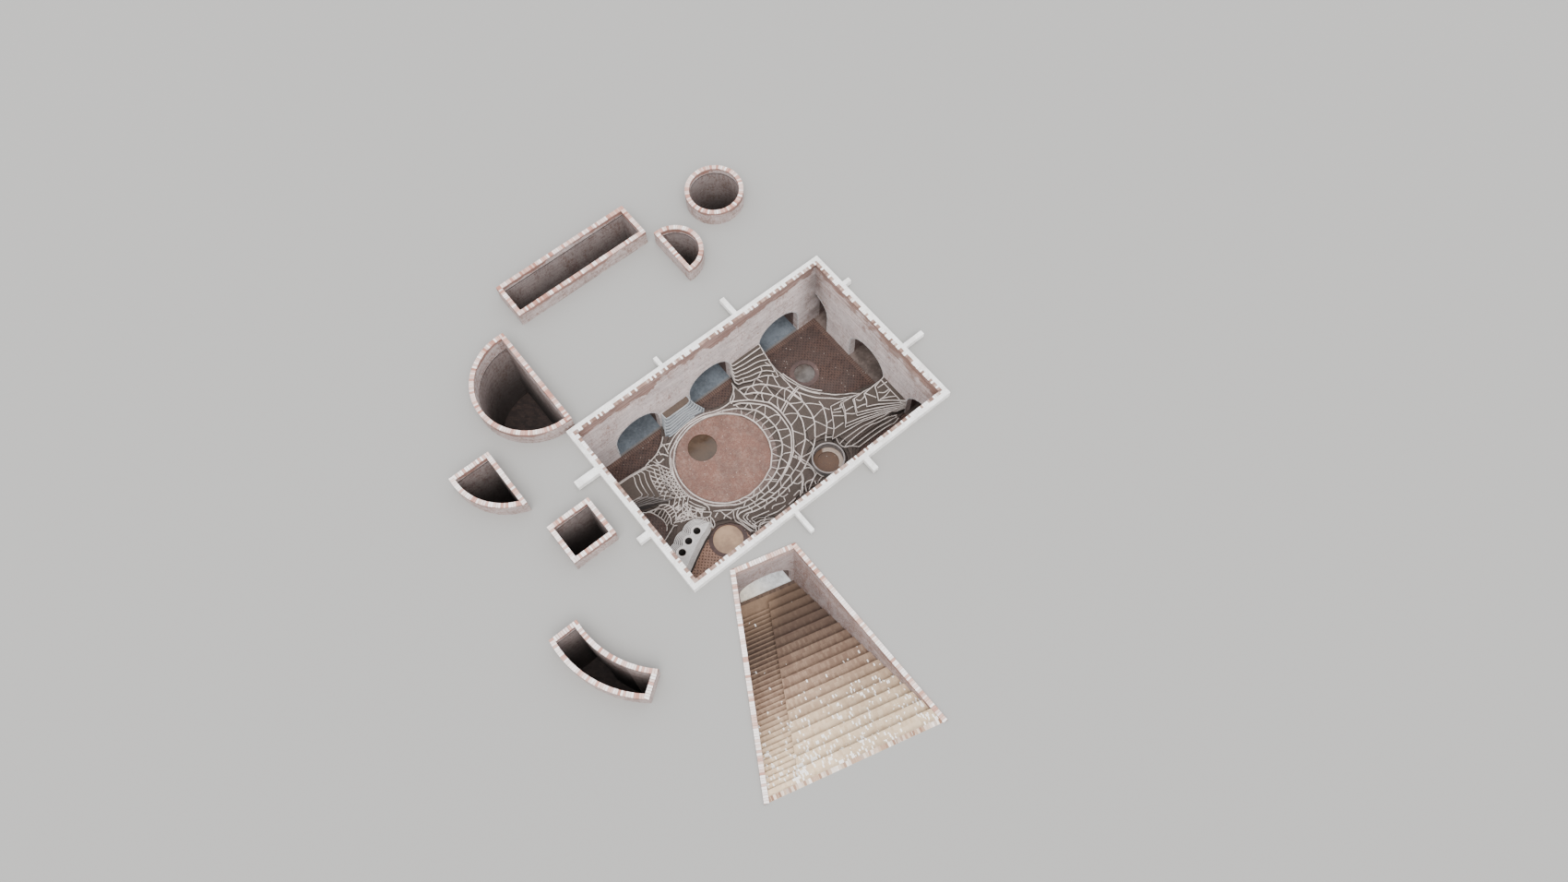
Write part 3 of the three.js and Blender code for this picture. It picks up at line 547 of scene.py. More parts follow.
def court_brick():
    """The court's floor: dark red-brown brick with staggered open joints on the low grounds, sandier in the
    south-west corner, a pink plaza, plain rings round the basins and soldier rows at the walls"""
    w = Finish("court_brick")
    position = w.position()
    x, y = w.split(position)[:2]
    low, high = COURT_LOW, COURT_HIGH

    def near(point, radius):
        return w.below(w.distance(position, site(*point)), radius)

    plaza = near(PLAZA, PLAZA_RADIUS + 0.02)
    corner = site(4.95, 4.3)
    south_west = w.times(w.below(x, corner.x), w.below(y, corner.y))
    bond = w.effect("brick_bond", Vector=position, Length=0.24, Course=0.12, Joint=0.007)
    gaps = w.effect("open_joints", Vector=w.place(position, shift=(0.12, 0, 0)))["Mask"]
    weather = w.weathered(position, 1.3)
    colour = w.blend(bond["Tone"], "3f2d27", "553f36")
    colour = w.cover(colour, "33231f", bond["Joint"], 0.5)
    colour = w.cover(colour, "150e0d", gaps, 0.8)
    sandy = w.blend(bond["Tone"], "91705f", "ab8672")
    sandy = w.cover(sandy, "3d241d", gaps, 0.85)
    colour = w.cover(colour, sandy, south_west)

    # Soldier rows against the walls
    across = w.between(x, low.x + SOLDIER_ROW, high.x - SOLDIER_ROW)
    beside = w.between(y, low.y + SOLDIER_ROW, high.y - SOLDIER_ROW)
    joint = w.mix(beside, *[w.ramp(w.off_middle(w.divide(along, SOLDIER_PITCH)), 0.3, 0.4) for along in (x, y)])
    soldiers = w.blend(w.noise(position, 3.0, 2.0), "4b352e", "6e564a")
    soldiers = w.cover(soldiers, "261a17", joint, 0.8)
    rows = w.minus(1.0, w.times(across, beside))
    colour = w.cover(colour, soldiers, rows)

    plain = w.blend(weather, "4a3835", "64504b")
    for basin, radius in BASINS[1:]:
        colour = w.cover(colour, plain, near(basin, radius + 0.24))
    speckle = w.noise(position, 22.0, 4.0, 0.75)
    pink = w.blend(w.ramp(speckle, 0.3, 0.7), "614038", "8f6a5b")
    pink = w.cover(pink, "5f443c", bond["Joint"], 0.25)
    pink = w.cover(pink, "a58a7d", w.effect("salt_bloom", Vector=position, Amount=0.4)["Mask"], 0.45)
    colour = w.cover(colour, pink, plaza)
    earth = w.blend(speckle, "4e392e", "7a5f4e")
    colour = w.cover(colour, earth, near(TUB, TUB_BORE))
    colour = w.cover(colour, "2b1f1b", w.ease(weather, 0.4, 0.0))
    specks = w.effect("grit", Vector=position, Scale=13.0, Amount=0.015)["Mask"]
    colour = w.cover(colour, "cdbfb4", specks, 0.6)
    height = w.minus(bond["Height"], gaps)
    return w.surface(colour, w.ease(weather, 0.6, 0.9), height, 0.006)


def ring_brick():
    """The brick kerb round the plaza, laid in headers round the circle"""
    w = Finish("ring_brick")
    position = w.position()
    x, y = w.split(position)[:2]
    middle = site(*PLAZA)
    from_x = w.minus(x, middle.x)
    from_y = w.minus(y, middle.y)
    around = w.times(w.math("ARCTAN2", from_y, from_x), PLAZA_RADIUS + KERB / 2)
    lay = w.join(around, w.distance(position, middle))
    bond = w.effect("brick_bond", Vector=lay, Length=COURSE, Course=KERB)
    weather = w.weathered(position)
    colour = w.blend(bond["Tone"], "55453f", "80706a")
    colour = w.cover(colour, "3e322d", bond["Joint"], 0.6)
    colour = w.cover(colour, "3a2e29", w.ease(weather, 0.3, 0.0))
    return w.surface(colour, 0.9, bond["Height"], 0.004)


def bed_earth():
    """Terrace beds: bare brown earth with brick rubble and washed silt"""
    w = Finish("bed_earth")
    position = w.position()
    weather = w.weathered(position, 1.2)
    clods = w.noise(position, 14.0, 5.0, 0.7)
    colour = w.blend(clods, "2a2420", "544a43")
    colour = w.cover(colour, "4d413c", w.ramp(weather, 0.2, 0.9, 0.0, 0.6))
    stones = w.effect("grit", Vector=position, Scale=26.0, Amount=0.16)["Mask"]
    colour = w.cover(colour, "85766c", stones, 0.4)
    height = w.plus(clods, w.times(stones, 0.4))
    return w.surface(colour, 0.97, height, 0.02, 0.8)


def thin_courses(name, dark, light, gap, top=("372c25", "66564a"), top_from=0.0):
    """Stacked thin courses, pale and mortar-smeared, with earth on the level tops above a height"""
    w = Finish(name)
    position = w.position()
    face = w.effect("face_coordinates")
    bond = w.effect("brick_bond", Vector=face["Vector"], Length=0.9, Course=0.05, Joint=0.007)
    weather = w.weathered(position, 1.5)
    clods = w.noise(position, 14.0, 5.0, 0.7)
    colour = w.blend(bond["Tone"], dark, light)
    colour = w.cover(colour, gap, bond["Joint"], 0.7)
    earth = w.times(face["Level"], w.above(w.split(position)[2], top_from))
    colour = w.cover(colour, w.blend(clods, top[0], top[1]), earth)
    colour = w.cover(colour, "453e38", w.ease(weather, 0.3, 0.0))
    return w.surface(colour, 0.92, bond["Height"], 0.006)


def step_brick():
    """Stair treads and risers: brown brick, painted darker low down as shade, and sandy at the top. Each tread is
    painted darker towards its back and the risers darker, as shade, and the small flight's nosings lighter, partly
    wear and partly painted light. Single bricks on the treads are white with salts, most of them high up and between
    the two flights"""
    w = Finish("step_brick")
    position = w.position()
    x, y, rise = w.split(position)[:3]
    face = w.effect("face_coordinates")
    level = face["Level"]
    turned = w.place(position, turn=STAIR_SKEW)
    across, along = w.split(turned)[:2]
    lay = w.add("ShaderNodeMix", {0: level, 4: w.join(across, rise), 5: w.join(across, along)},
                data_type="VECTOR").outputs[1]

    def inward(side):
        """Metres inwards from one side of the pit"""
        (nx, ny), distance = PIT_SIDES[side]
        outward = w.plus(w.times(x, nx), w.times(y, ny))
        return w.minus(distance + nx * ORIGIN.x + ny * ORIGIN.y, outward)

    from_end, from_left = inward("end"), inward("left")
    small = w.below(from_left, SMALL_FLIGHT)
    small_share = w.math("FRACT", w.divide(w.minus(from_end, SMALL_START), SMALL_RUN))
    seat_share = w.math("FRACT", w.divide(w.minus(from_end, SEAT_START), SEAT_RUN))
    share = w.mix(small, seat_share, small_share)
    landing = w.below(from_end, w.mix(small, SEAT_START - 0.02, SMALL_START - 0.02))
    flight = w.minus(1.0, landing)

    bond = w.effect("brick_bond", Vector=lay, Length=HEADER_PITCH, Course=BRICK_PITCH)
    weather = w.weathered(position, 0.7)
    colour = w.blend(bond["Tone"], "896b58", "a68871")
    colour = w.cover(colour, "65503f", bond["Joint"], 0.4)
    sandy = w.blend(bond["Tone"], "cbae8c", "e0c7a6")
    colour = w.cover(colour, sandy, w.ramp(rise, 3.1, GROUND - 0.5, 0.0, 1.0))
    # Painted shade: the lower the step lies in the pit, the darker
    colour = w.cover(colour, "2a1e19", w.ramp(rise, 1.4, 4.1, 0.84, 0.0))
    tan = w.blend(w.noise(position, 5.0, 4.0, 0.65), "7d6450", "ab8d72")
    trodden = w.times(w.ramp(from_left, 1.5, 2.6, 0.72, 0.2), w.ramp(from_end, 0.5, 3.4, 1.0, 0.0))
    colour = w.cover(colour, tan, trodden)
    threshold = w.times(w.between(from_end, 0.24, 0.44), level)
    colour = w.cover(colour, w.blend(bond["Tone"], "2a1f1b", "5a473d"), threshold, 0.75)
    # Painted shade at the back of each tread, under the next riser
    back = w.times(w.ramp(share, 0.6, 1.0), flight, level)
    colour = w.cover(colour, "3b2b24", back, w.mix(small, 0.3, 0.4))
    # Lighter nosings on the small flight: partly wear, partly painted light on the front edges
    nosing = w.times(w.ramp(share, 0.35, 0.1), flight, level, small)
    colour = w.cover(colour, "c9ab90", nosing, 0.2)
    # Risers painted darker: painted shade
    colour = w.cover(colour, "3d2c25", w.minus(1.0, level), 0.35)
    colour = w.cover(colour, "4a3a31", w.ramp(from_left, 2.6, 5.2, 0.0, 0.22))
    colour = w.cover(colour, "57463c", w.ease(weather, 0.18, 0.0))

    singles = w.effect("brick_bond", Vector=lay, Length=0.08, Course=0.165, Joint=0.004)
    cluster = w.noise(turned, 1.5, 3.0, 0.6)
    between_flights = w.ramp(w.math("ABSOLUTE", w.minus(from_left, SMALL_FLIGHT)), 0.1, 0.5, 1.0, 0.0)
    rarity = w.times(w.ramp(rise, 3.0, GROUND, 0.005, 0.17), w.ramp(cluster, 0.42, 0.68, 0.08, 2.4))
    rarity = w.plus(rarity, w.times(between_flights, w.ramp(rise, 3.4, GROUND, 0.0, 0.16)))
    spot = w.above(singles["Tone"], w.minus(1.0, rarity))
    spot = w.times(spot, level, w.minus(1.0, singles["Joint"]), flight)
    colour = w.cover(colour, "f6f1ea", spot, 0.9)
    return w.surface(colour, w.ease(weather, 0.95, 0.85), bond["Height"], 0.0015)


def pale_curb(name, dull, clean, flank, shade_span=None):
    """Thin upright curbs: mortar over brick edges, worn on top, earthy in patches, and darker on their flanks as
    painted shade. The last argument gives the distances along the court's short side between which they turn from
    painted dark grey shade to pale."""
    w = Finish(name)
    position = w.position()
    weather = w.weathered(position, 2.5)
    worn = w.noise(position, 18.0, 4.0, 0.7)
    colour = w.blend(weather, dull, clean)
    colour = w.cover(colour, flank, w.ramp(worn, 0.55, 0.75, 0.0, 0.5))
    # Flanks painted darker than the tops: painted shade
    z_normal = w.facing()[2]
    colour = w.cover(colour, flank, w.ramp(z_normal, 0.7, 0.2, 0.0, 0.65))
    # Painted shade: dark grey on the curbs south of the first distance, fading out by the second
    if shade_span:
        y = w.split(position)[1]
        shade = w.ramp(y, site(0, shade_span[0]).y, site(0, shade_span[1]).y, 0.82, 0.0)
        colour = w.cover(colour, "474241", shade)
    return w.surface(colour, 0.93, worn, 0.004)


def muddy_water(name, deep, shallow):
    """Still, silty water: coloured by what it holds, smooth enough to mirror the sky"""
    w = Finish(name)
    position = w.position()
    cloud = w.noise(position, 1.6, 3.0, 0.6)
    colour = w.blend(w.ramp(cloud, 0.3, 0.7), deep, shallow)
    ripple = w.noise(position, 6.0, 2.0)
    w.feed(w.shader.inputs["Specular IOR Level"], 0.6)
    return w.surface(colour, w.ramp(cloud, 0.3, 0.7, 0.08, 0.22), ripple, 0.01, 0.08)


# ---- The garden's curbs, as plan lines from the court's corner ----

CURB_LINES = {
    "rings": [
        [(8.36, 4.56), (8.97, 5.21), (9.18, 5.59), (9.3, 5.82), (9.39, 6.09), (9.47, 6.46), (9.49, 6.76),
         (9.49, 7.13), (9.43, 7.49), (9.3, 7.89), (9.15, 8.19), (8.92, 8.48), (8.7, 8.71), (8.39, 8.98),
         (8, 9.2), (7.55, 9.39), (7.09, 9.49), (6.64, 9.52), (6.17, 9.49), (5.71, 9.37), (5.28, 9.22),
         (4.86, 8.96), (4.58, 8.68), (4.26, 8.29), (4.08, 7.86), (3.96, 7.44), (3.9, 6.98), (3.91, 6.53),
         (3.98, 6.08), (4.17, 5.56), (4.48, 5.06), (4.99, 4.55), (5.38, 4.32), (5.72, 4.18), (6.05, 4.12),
         (6.45, 4.05), (6.83, 4.09), (7.13, 4.12), (7.53, 4.22), (7.99, 4.42), (8.36, 4.56)],
        [(7.97, 9.28), (8.45, 9.14), (8.97, 8.86), (9.29, 8.62), (9.57, 8.35), (9.82, 8.05), (10, 7.69),
         (10.12, 7.27), (10.15, 6.76), (10.15, 6.33), (10.06, 5.93), (9.92, 5.58), (9.77, 5.25), (9.57, 4.99),
         (9.26, 4.72), (8.96, 4.51), (8.62, 4.25), (8.01, 4), (7.57, 3.87), (7.02, 3.79), (6.51, 3.83),
         (6.08, 3.88), (5.72, 3.96), (5.42, 4.09), (5.2, 4.26), (4.58, 4.71), (4.23, 5.11), (3.98, 5.56),
         (3.8, 5.91), (3.71, 6.23), (3.67, 6.83), (3.74, 7.32), (3.8, 7.74), (3.98, 8.2), (4.23, 8.6),
         (4.58, 8.98), (5.1, 9.27), (5.56, 9.48), (6.01, 9.61), (6.48, 9.67), (7.07, 9.61), (7.52, 9.49),
         (7.97, 9.28)],
        [(9.14, 9), (9.44, 8.84), (9.82, 8.54), (10.12, 8.24), (10.4, 7.94), (10.61, 7.64), (10.75, 7.25),
         (10.79, 6.91), (10.78, 6.59), (10.73, 6.09), (10.65, 5.67), (10.5, 5.34), (10.25, 5), (9.98, 4.64),
         (9.71, 4.4), (9.28, 4.09), (8.92, 3.91), (8.59, 3.75), (8.13, 3.59), (7.91, 3.5), (7.52, 3.45),
         (7.1, 3.48), (6.65, 3.49), (6.35, 3.51), (5.89, 3.58), (5.65, 3.66), (5.47, 3.78), (5.22, 3.85)],
        [(9.06, 9.24), (9.52, 8.98), (10.02, 8.64), (10.32, 8.34), (10.6, 8.02), (10.81, 7.68), (10.91, 7.23),
         (10.95, 6.85), (10.93, 6.44), (10.9, 6.19), (10.84, 5.76), (10.69, 5.43), (10.5, 5.12), (10.22, 4.76),
         (9.95, 4.46), (9.71, 4.28), (9.28, 4), (8.92, 3.82), (8.59, 3.69), (8.29, 3.55)],
        [(9.95, 9.17), (10.38, 8.85), (10.75, 8.54), (11.05, 8.2), (11.29, 7.85), (11.47, 7.45), (11.6, 7.09),
         (11.63, 6.63), (11.63, 6.22), (11.57, 5.82), (11.45, 5.43), (11.23, 5.01), (10.96, 4.62),
         (10.69, 4.38), (10.32, 4.1), (9.97, 3.81), (9.49, 3.57), (9.16, 3.5), (8.73, 3.36), (8.29, 3.27),
         (7.98, 3.18), (7.53, 3.15), (7.23, 3.13), (6.91, 3.16), (6.47, 3.23), (6.22, 3.26), (5.92, 3.32),
         (5.62, 3.41), (5.32, 3.47)],
        [(9.97, 9.46), (10.29, 9.38), (10.57, 9.23), (11.02, 9.03), (11.29, 8.71), (11.55, 8.41), (11.85, 8.02),
         (12.03, 7.73), (12.14, 7.42), (12.23, 7.02), (12.29, 6.58), (12.28, 6.13), (12.2, 5.59), (12.08, 5.23),
         (11.88, 4.87), (11.61, 4.54), (11.37, 4.24), (11.09, 4), (10.78, 3.81), (10.22, 3.5), (9.79, 3.27),
         (9.43, 3.13), (9.01, 3.04), (8.61, 2.94), (8.14, 2.92), (7.67, 2.89), (7.37, 2.89), (6.91, 2.92),
         (6.47, 2.95), (6.16, 3.01), (5.86, 3.1), (5.56, 3.21), (5.32, 3.19)],
    ],
    "edges": [
        [(9.12, 9.28), (9.56, 9.59), (9.79, 9.8), (9.94, 10.05)],
        [(9.11, 9.14), (9.47, 9.33), (9.71, 9.69), (9.88, 9.85)],
        [(9.97, 10.2), (9.91, 9.65), (9.95, 9.38), (10, 9.17)],
        [(11.79, 3.79), (11.89, 3.9), (12.05, 4.06), (12.33, 4.33), (12.57, 4.66), (12.78, 5.02), (12.96, 5.41),
         (13, 5.58), (13.03, 5.86)],
        [(12.7, 10.1), (12.6, 9.9), (12.54, 9.38), (12.55, 8.93), (12.55, 8.38), (12.66, 7.96), (12.8, 7.57),
         (12.9, 7.13), (13.15, 6.68), (13.52, 6.34), (13.85, 5.99), (14.16, 5.68), (14.73, 5.35), (15.03, 5.05),
         (15.25, 4.72)],
        [(12.43, 8.75), (12.39, 8.2), (12.36, 7.55), (12.41, 7.21), (12.57, 6.89), (12.75, 6.59), (13, 6.23),
         (13.3, 5.92), (13.7, 5.58), (14.11, 5.19), (14.77, 4.96)],
        [(12.68, 8.78), (12.74, 8.44), (12.86, 8.02), (12.98, 7.56), (13.19, 7.17), (13.45, 6.79),
         (13.75, 6.45)],
        [(12.14, 7.18), (12.26, 6.65), (12.29, 6.38)],
        [(12.43, 7.21), (12.45, 6.95), (12.33, 6.62), (12.29, 6.38)],
        [(12.77, 7.3), (12.88, 7), (13.15, 6.61), (13.45, 6.24)],
        [(10.96, 6.85), (11.6, 7.12), (12.14, 7.27), (12.76, 7.45)],
        [(10.93, 6.64), (11.54, 6.94), (12.14, 7.15), (12.81, 7.33)],
        [(9.7, 4.32), (9.82, 4.05), (9.88, 3.76), (9.93, 3.46), (10.14, 3.19), (10.2, 2.82), (10.24, 2.5),
         (10.29, 2.29)],
        [(9.87, 4.2), (9.96, 3.86), (10.05, 3.56), (10.16, 3.39), (10.23, 3.02), (10.26, 2.65)],
        [(1.2, 8.84), (1.52, 8.76), (1.85, 8.86)],
        [(2.23, 8.79), (3.02, 9.18), (3.41, 9.24), (3.8, 9.33), (4.03, 9.45), (4.3, 9.6), (4.61, 9.84),
         (4.77, 9.99)],
        [(3.62, 9.27), (3.59, 8.78), (3.97, 8.79)],
        [(3.8, 9.3), (4.16, 8.99), (4.27, 8.84)],
        [(4.46, 9.66), (4.43, 9.24), (4.37, 8.94)],
        [(3.53, 8.66), (3.68, 8.39), (3.77, 8.27)],
        [(4.03, 9.44), (3.97, 9.08)],
        [(4.27, 9.56), (4.67, 9.45), (4.92, 9.39)],
        [(4.49, 9.15), (4.91, 9.42), (5.39, 9.62), (6.01, 9.75), (6.48, 9.79), (7.07, 9.75), (7.52, 9.65),
         (7.97, 9.45), (8.47, 9.3), (9.06, 9.24)],
        [(2.23, 8.79), (2.64, 8.89), (3.03, 8.87), (3.35, 8.78), (3.53, 8.66)],
    ],
    "ribs": [
        [(9.15, 8.22), (9.3, 8.46)],
        [(9.3, 8.07), (9.82, 7.99)],
        [(9.44, 7.49), (9.75, 7.75), (9.94, 7.84)],
        [(9.5, 7.34), (10.12, 7.23)],
        [(9.52, 6.83), (9.73, 6.95), (10.12, 6.94)],
        [(9.49, 6.7), (10.12, 6.39)],
        [(9.39, 6.09), (10.06, 6.14)],
        [(9.36, 5.91), (9.72, 5.63), (9.84, 5.4)],
        [(9.07, 5.36), (9.27, 5.38), (9.71, 5.25)],
        [(9, 5.21), (9.21, 4.73)],
        [(8.67, 4.86), (9.06, 4.6)],
        [(8.39, 4.65), (8.62, 4.27)],
        [(7.99, 4.42), (8.01, 4)],
        [(7.6, 4.24), (7.96, 4.01)],
        [(7.13, 4.12), (7.02, 3.79)],
        [(6.83, 4.09), (6.51, 3.83)],
        [(6.05, 4.12), (6.38, 3.85)],
        [(5.72, 4.18), (5.78, 3.94)],
        [(8.39, 8.98), (8.45, 9.14)],
        [(8, 9.2), (8.45, 9.14)],
        [(7.3, 9.45), (7.57, 9.47)],
        [(5.28, 9.22), (5.08, 9.28)],
        [(9.29, 8.62), (9.26, 8.94)],
        [(9.51, 8.42), (9.87, 8.48)],
        [(9.82, 8.05), (9.92, 8.43)],
        [(9.87, 7.93), (10.42, 7.87)],
        [(10.12, 7.27), (10.52, 7.73)],
        [(10.15, 7.03), (10.62, 6.91), (10.77, 6.73)],
        [(10.16, 6.36), (10.62, 6.48), (10.75, 6.64)],
        [(10.12, 6.06), (10.65, 5.75)],
        [(9.92, 5.5), (10.52, 5.4)],
        [(9.77, 5.25), (9.98, 4.7)],
        [(9.26, 4.72), (9.47, 4.7), (9.82, 4.52)],
        [(9.17, 4.65), (9.24, 4.1)],
        [(8.47, 4.19), (8.44, 3.71)],
        [(8.62, 4.25), (9, 3.98)],
        [(7.98, 3.98), (8.23, 3.66)],
        [(7.59, 3.87), (7.4, 3.47)],
        [(7.86, 3.92), (8.13, 3.59)],
        [(7.02, 3.79), (7.1, 3.48)],
        [(6.5, 3.54), (6.81, 3.77)],
        [(6.26, 3.86), (6.35, 3.53)],
        [(5.71, 3.67), (6.02, 3.88)],
        [(9.98, 9.08), (9.98, 8.9), (10.04, 8.66), (10.22, 8.44)],
        [(10.22, 8.43), (10.52, 8.53), (10.72, 8.55)],
        [(10.62, 7.99), (10.72, 8.29), (10.85, 8.42)],
        [(10.76, 7.75), (11.11, 7.85), (11.29, 7.85)],
        [(10.95, 6.97), (11.11, 7.33), (11.37, 7.63)],
        [(10.96, 6.55), (11.39, 6.31), (11.61, 6.03)],
        [(10.87, 5.76), (11.39, 5.9), (11.59, 6.03)],
        [(10.72, 5.43), (11.05, 4.85)],
        [(10.22, 4.62), (10.75, 4.56), (10.94, 4.59)],
        [(10.04, 4.52), (10.02, 3.84)],
        [(9.22, 3.95), (9.22, 3.51)],
        [(8.68, 3.67), (8.91, 3.41)],
        [(8.26, 3.55), (8.05, 3.21)],
        [(7.33, 3.44), (7.53, 3.15)],
        [(6.65, 3.48), (6.88, 3.16)],
        [(6.38, 3.51), (6.22, 3.26)],
        [(5.87, 3.58), (5.92, 3.32)],
        [(9.95, 9.02), (10.46, 9.2), (10.67, 9.17)],
        [(10.66, 9.18), (10.66, 8.72), (10.79, 8.52)],
        [(10.81, 8.5), (11.14, 8.66), (11.32, 8.64)],
        [(11.28, 7.87), (11.31, 8.66)],
        [(11.37, 7.79), (11.82, 7.85), (11.97, 7.81)],
        [(11.53, 7.21), (11.85, 7.58), (12.02, 7.72)],
        [(11.63, 6.83), (11.92, 6.63), (12.29, 6.43)],
        [(11.63, 6.15), (12.14, 6.25), (12.28, 6.33)],
        [(11.58, 5.89), (12.06, 5.26)],
        [(11.23, 4.95), (11.82, 4.96), (11.92, 4.94)],
        [(10.96, 4.6), (11.06, 3.98)],
        [(10, 3.83), (10.52, 3.8), (10.76, 3.8)],
        [(9.28, 3.51), (9.48, 3.14)],
        [(8.92, 3.41), (8.61, 2.96)],
        [(8.05, 3.19), (8.26, 2.95)],
        [(7.83, 3.15), (7.61, 2.9)],
        [(7.18, 3.13), (7.34, 2.9)],
        [(6.94, 3.16), (6.77, 2.92)],
        [(6.29, 3.25), (6.38, 2.98)],
        [(5.98, 3.31), (5.86, 3.1)],
        [(10.7, 9.16), (10.96, 9.27), (11, 9.28)],
        [(11.29, 8.91), (11.13, 9.25)],
        [(11.37, 8.61), (11.74, 8.95), (11.81, 8.99)],
        [(11.87, 8.04), (11.92, 8.46), (12.02, 8.94)],
        [(12, 7.75), (12.36, 7.64)],
        [(10.37, 9.56), (10.49, 9.72)],
        [(11.19, 9.25), (11.63, 9.4)],
        [(11.63, 9.4), (11.71, 9.62)],
        [(12.15, 9.29), (12.05, 9.61)],
        [(12.27, 6.28), (12.56, 6.08), (12.87, 5.74), (13, 5.59)],
        [(12.11, 5.26), (12.81, 5.37), (12.94, 5.35)],
        [(12.02, 5.09), (12.16, 4.8), (12.35, 4.35)],
        [(11.38, 4.24), (12.08, 4.11)],
        [(12.96, 5.41), (13.16, 5.09)],
        [(12.45, 4.51), (12.86, 4.5)],
        [(12.33, 4.33), (12.53, 4.03)],
        [(11.91, 3.91), (12.21, 3.72)],
        [(13.1, 4.8), (13.55, 4.5)],
        [(13.7, 4.8), (13.9, 4.9)],
    ],
    "fan": [
        [(12.3, 3.14), (12.84, 3.12), (13.43, 3.1), (13.93, 3.07), (14.53, 2.95), (15.13, 2.84), (15.71, 2.69),
         (16.09, 2.52)],
        [(12.37, 2.81), (13.05, 2.84), (13.76, 2.86), (14.43, 2.83), (15.04, 2.71), (15.64, 2.6), (16.05, 2.45)],
        [(12.69, 2.57), (13.36, 2.58), (14.05, 2.57), (14.72, 2.54), (15.35, 2.45), (16.03, 2.41)],
        [(13.09, 2.36), (13.61, 2.36), (14.31, 2.35), (14.98, 2.32), (15.64, 2.25), (16.06, 2.28)],
        [(16.33, 4.33), (16.31, 3.7), (16.32, 3.01), (16.31, 2.51)],
        [(15.83, 4.05), (16.18, 4.02), (16.51, 4)],
        [(15.69, 3.79), (15.93, 3.59), (16.26, 3.57)],
        [(15.4, 3.39), (15.86, 3.39), (16.35, 3.5)],
        [(15.6, 3.36), (15.94, 3.21), (16.34, 2.96)],
        [(15.11, 4.28), (15.44, 3.67)],
        [(14.22, 3.92), (14.53, 3.87), (14.73, 3.75)],
        [(14.51, 4.36), (14.65, 4.16), (15.04, 4.18)],
        [(13.28, 4.86), (13.59, 4.73), (13.77, 4.67)],
        [(12.98, 4.64), (13.5, 4.21)],
        [(12.55, 3.91), (13.19, 3.89)],
        [(13.61, 4.29), (13.96, 4.26), (14.21, 4.22)],
        [(13.57, 4.16), (13.98, 3.78)],
        [(12.3, 3.5), (12.3, 3.14), (12.37, 2.81), (12.69, 2.57), (13.09, 2.36)],
    ],
    "west": [
        [(3.56, 8.49), (3.35, 7.82), (3.23, 7.06), (3.2, 6.15)],
        [(3.68, 8.2), (3.57, 7.78), (3.5, 7.26), (3.49, 6.55), (3.42, 6.03)],
        [(4.35, 8.67), (3.89, 7.8), (3.69, 7.1), (3.66, 6.54), (3.75, 5.89)],
        [(1.11, 7.02), (1.48, 6.77), (1.67, 6.34), (1.77, 5.91), (1.71, 5.53), (1.55, 5.32)],
        [(1.27, 6.92), (1.67, 6.72), (2.07, 6.4), (2.15, 5.99), (2.09, 5.61), (1.92, 5.36)],
        [(2.04, 6.64), (2.3, 6.5), (2.48, 6.28), (2.53, 5.96), (2.45, 5.6), (2.27, 5.4)],
    ],
    "west_ribs": [
        [(1.48, 6.77), (1.67, 6.72)],
        [(1.67, 6.34), (2.07, 6.4)],
        [(1.77, 5.91), (2.15, 5.99)],
        [(1.71, 5.53), (2.09, 5.61)],
        [(1.67, 6.72), (2.3, 6.5)],
        [(2.07, 6.4), (2.48, 6.28)],
        [(2.15, 5.99), (2.53, 5.96)],
        [(2.09, 5.61), (2.45, 5.6)],
        [(1.56, 6.6), (1.85, 6.6)],
        [(1.74, 6.1), (2.13, 6.2)],
        [(1.75, 5.7), (2.12, 5.8)],
        [(2.14, 6.2), (2.5, 6.12)],
        [(2.12, 5.8), (2.5, 5.8)],
        [(2.53, 6.15), (2.98, 6.22)],
        [(2.53, 5.9), (3.01, 5.97)],
        [(2.46, 5.65), (2.95, 5.75)],
    ],
    "flank": [
        [(1.05, 7.4), (1.62, 7.22), (1.95, 6.98), (2.54, 6.5)],
        [(1.03, 7.18), (1.91, 6.82), (2.47, 6.54), (2.73, 6.46)],
    ],
    "south": [
        [(5.22, 3.87), (5.07, 3.76), (4.92, 3.56), (4.84, 3.29), (4.98, 2.93), (5.13, 2.26)],
        [(5.47, 3.72), (5.19, 3.59), (5.01, 3.35), (5.04, 3.04), (5.22, 2.21)],
        [(5.32, 3.47), (5.1, 3.41), (5.07, 3.19), (5.16, 2.89), (5.36, 2.23)],
        [(5.5, 3.23), (5.29, 3.16), (5.26, 2.98), (5.32, 2.55), (5.46, 2.23)],
        [(5.62, 3.1), (5.44, 3.04), (5.39, 2.78), (5.51, 2.17)],
        [(4.05, 4.15), (4.53, 4.36)],
        [(4.53, 4.36), (4.57, 3.94), (4.72, 3.5)],
        [(4.38, 3.77), (4.57, 3.85), (4.95, 3.82), (5.17, 3.87)],
        [(4.2, 4.5), (4.53, 4.36), (5.19, 3.87)],
        [(4, 4.55), (4.17, 4.9), (4.08, 5.26)],
        [(5.61, 2.49), (5.56, 2.75), (5.92, 2.67), (6.26, 2.59), (6.6, 2.49)],
        [(5.6, 2), (5.74, 2.22), (6.01, 2.19), (6.23, 2.37), (6.52, 2.28), (6.9, 2.17)],
        [(6.5, 2.8), (6.62, 2.89)],
        [(7.28, 2.74), (7.4, 2.86)],
        [(7.64, 2.89), (7.74, 2.65), (8.04, 2.62)],
        [(7.73, 2.59), (7.6, 2.37), (7, 2.57), (6.8, 2.49)],
        [(7.68, 2.11), (8.22, 2.15)],
        [(8.22, 2.32), (8.69, 2.37), (8.53, 2.11)],
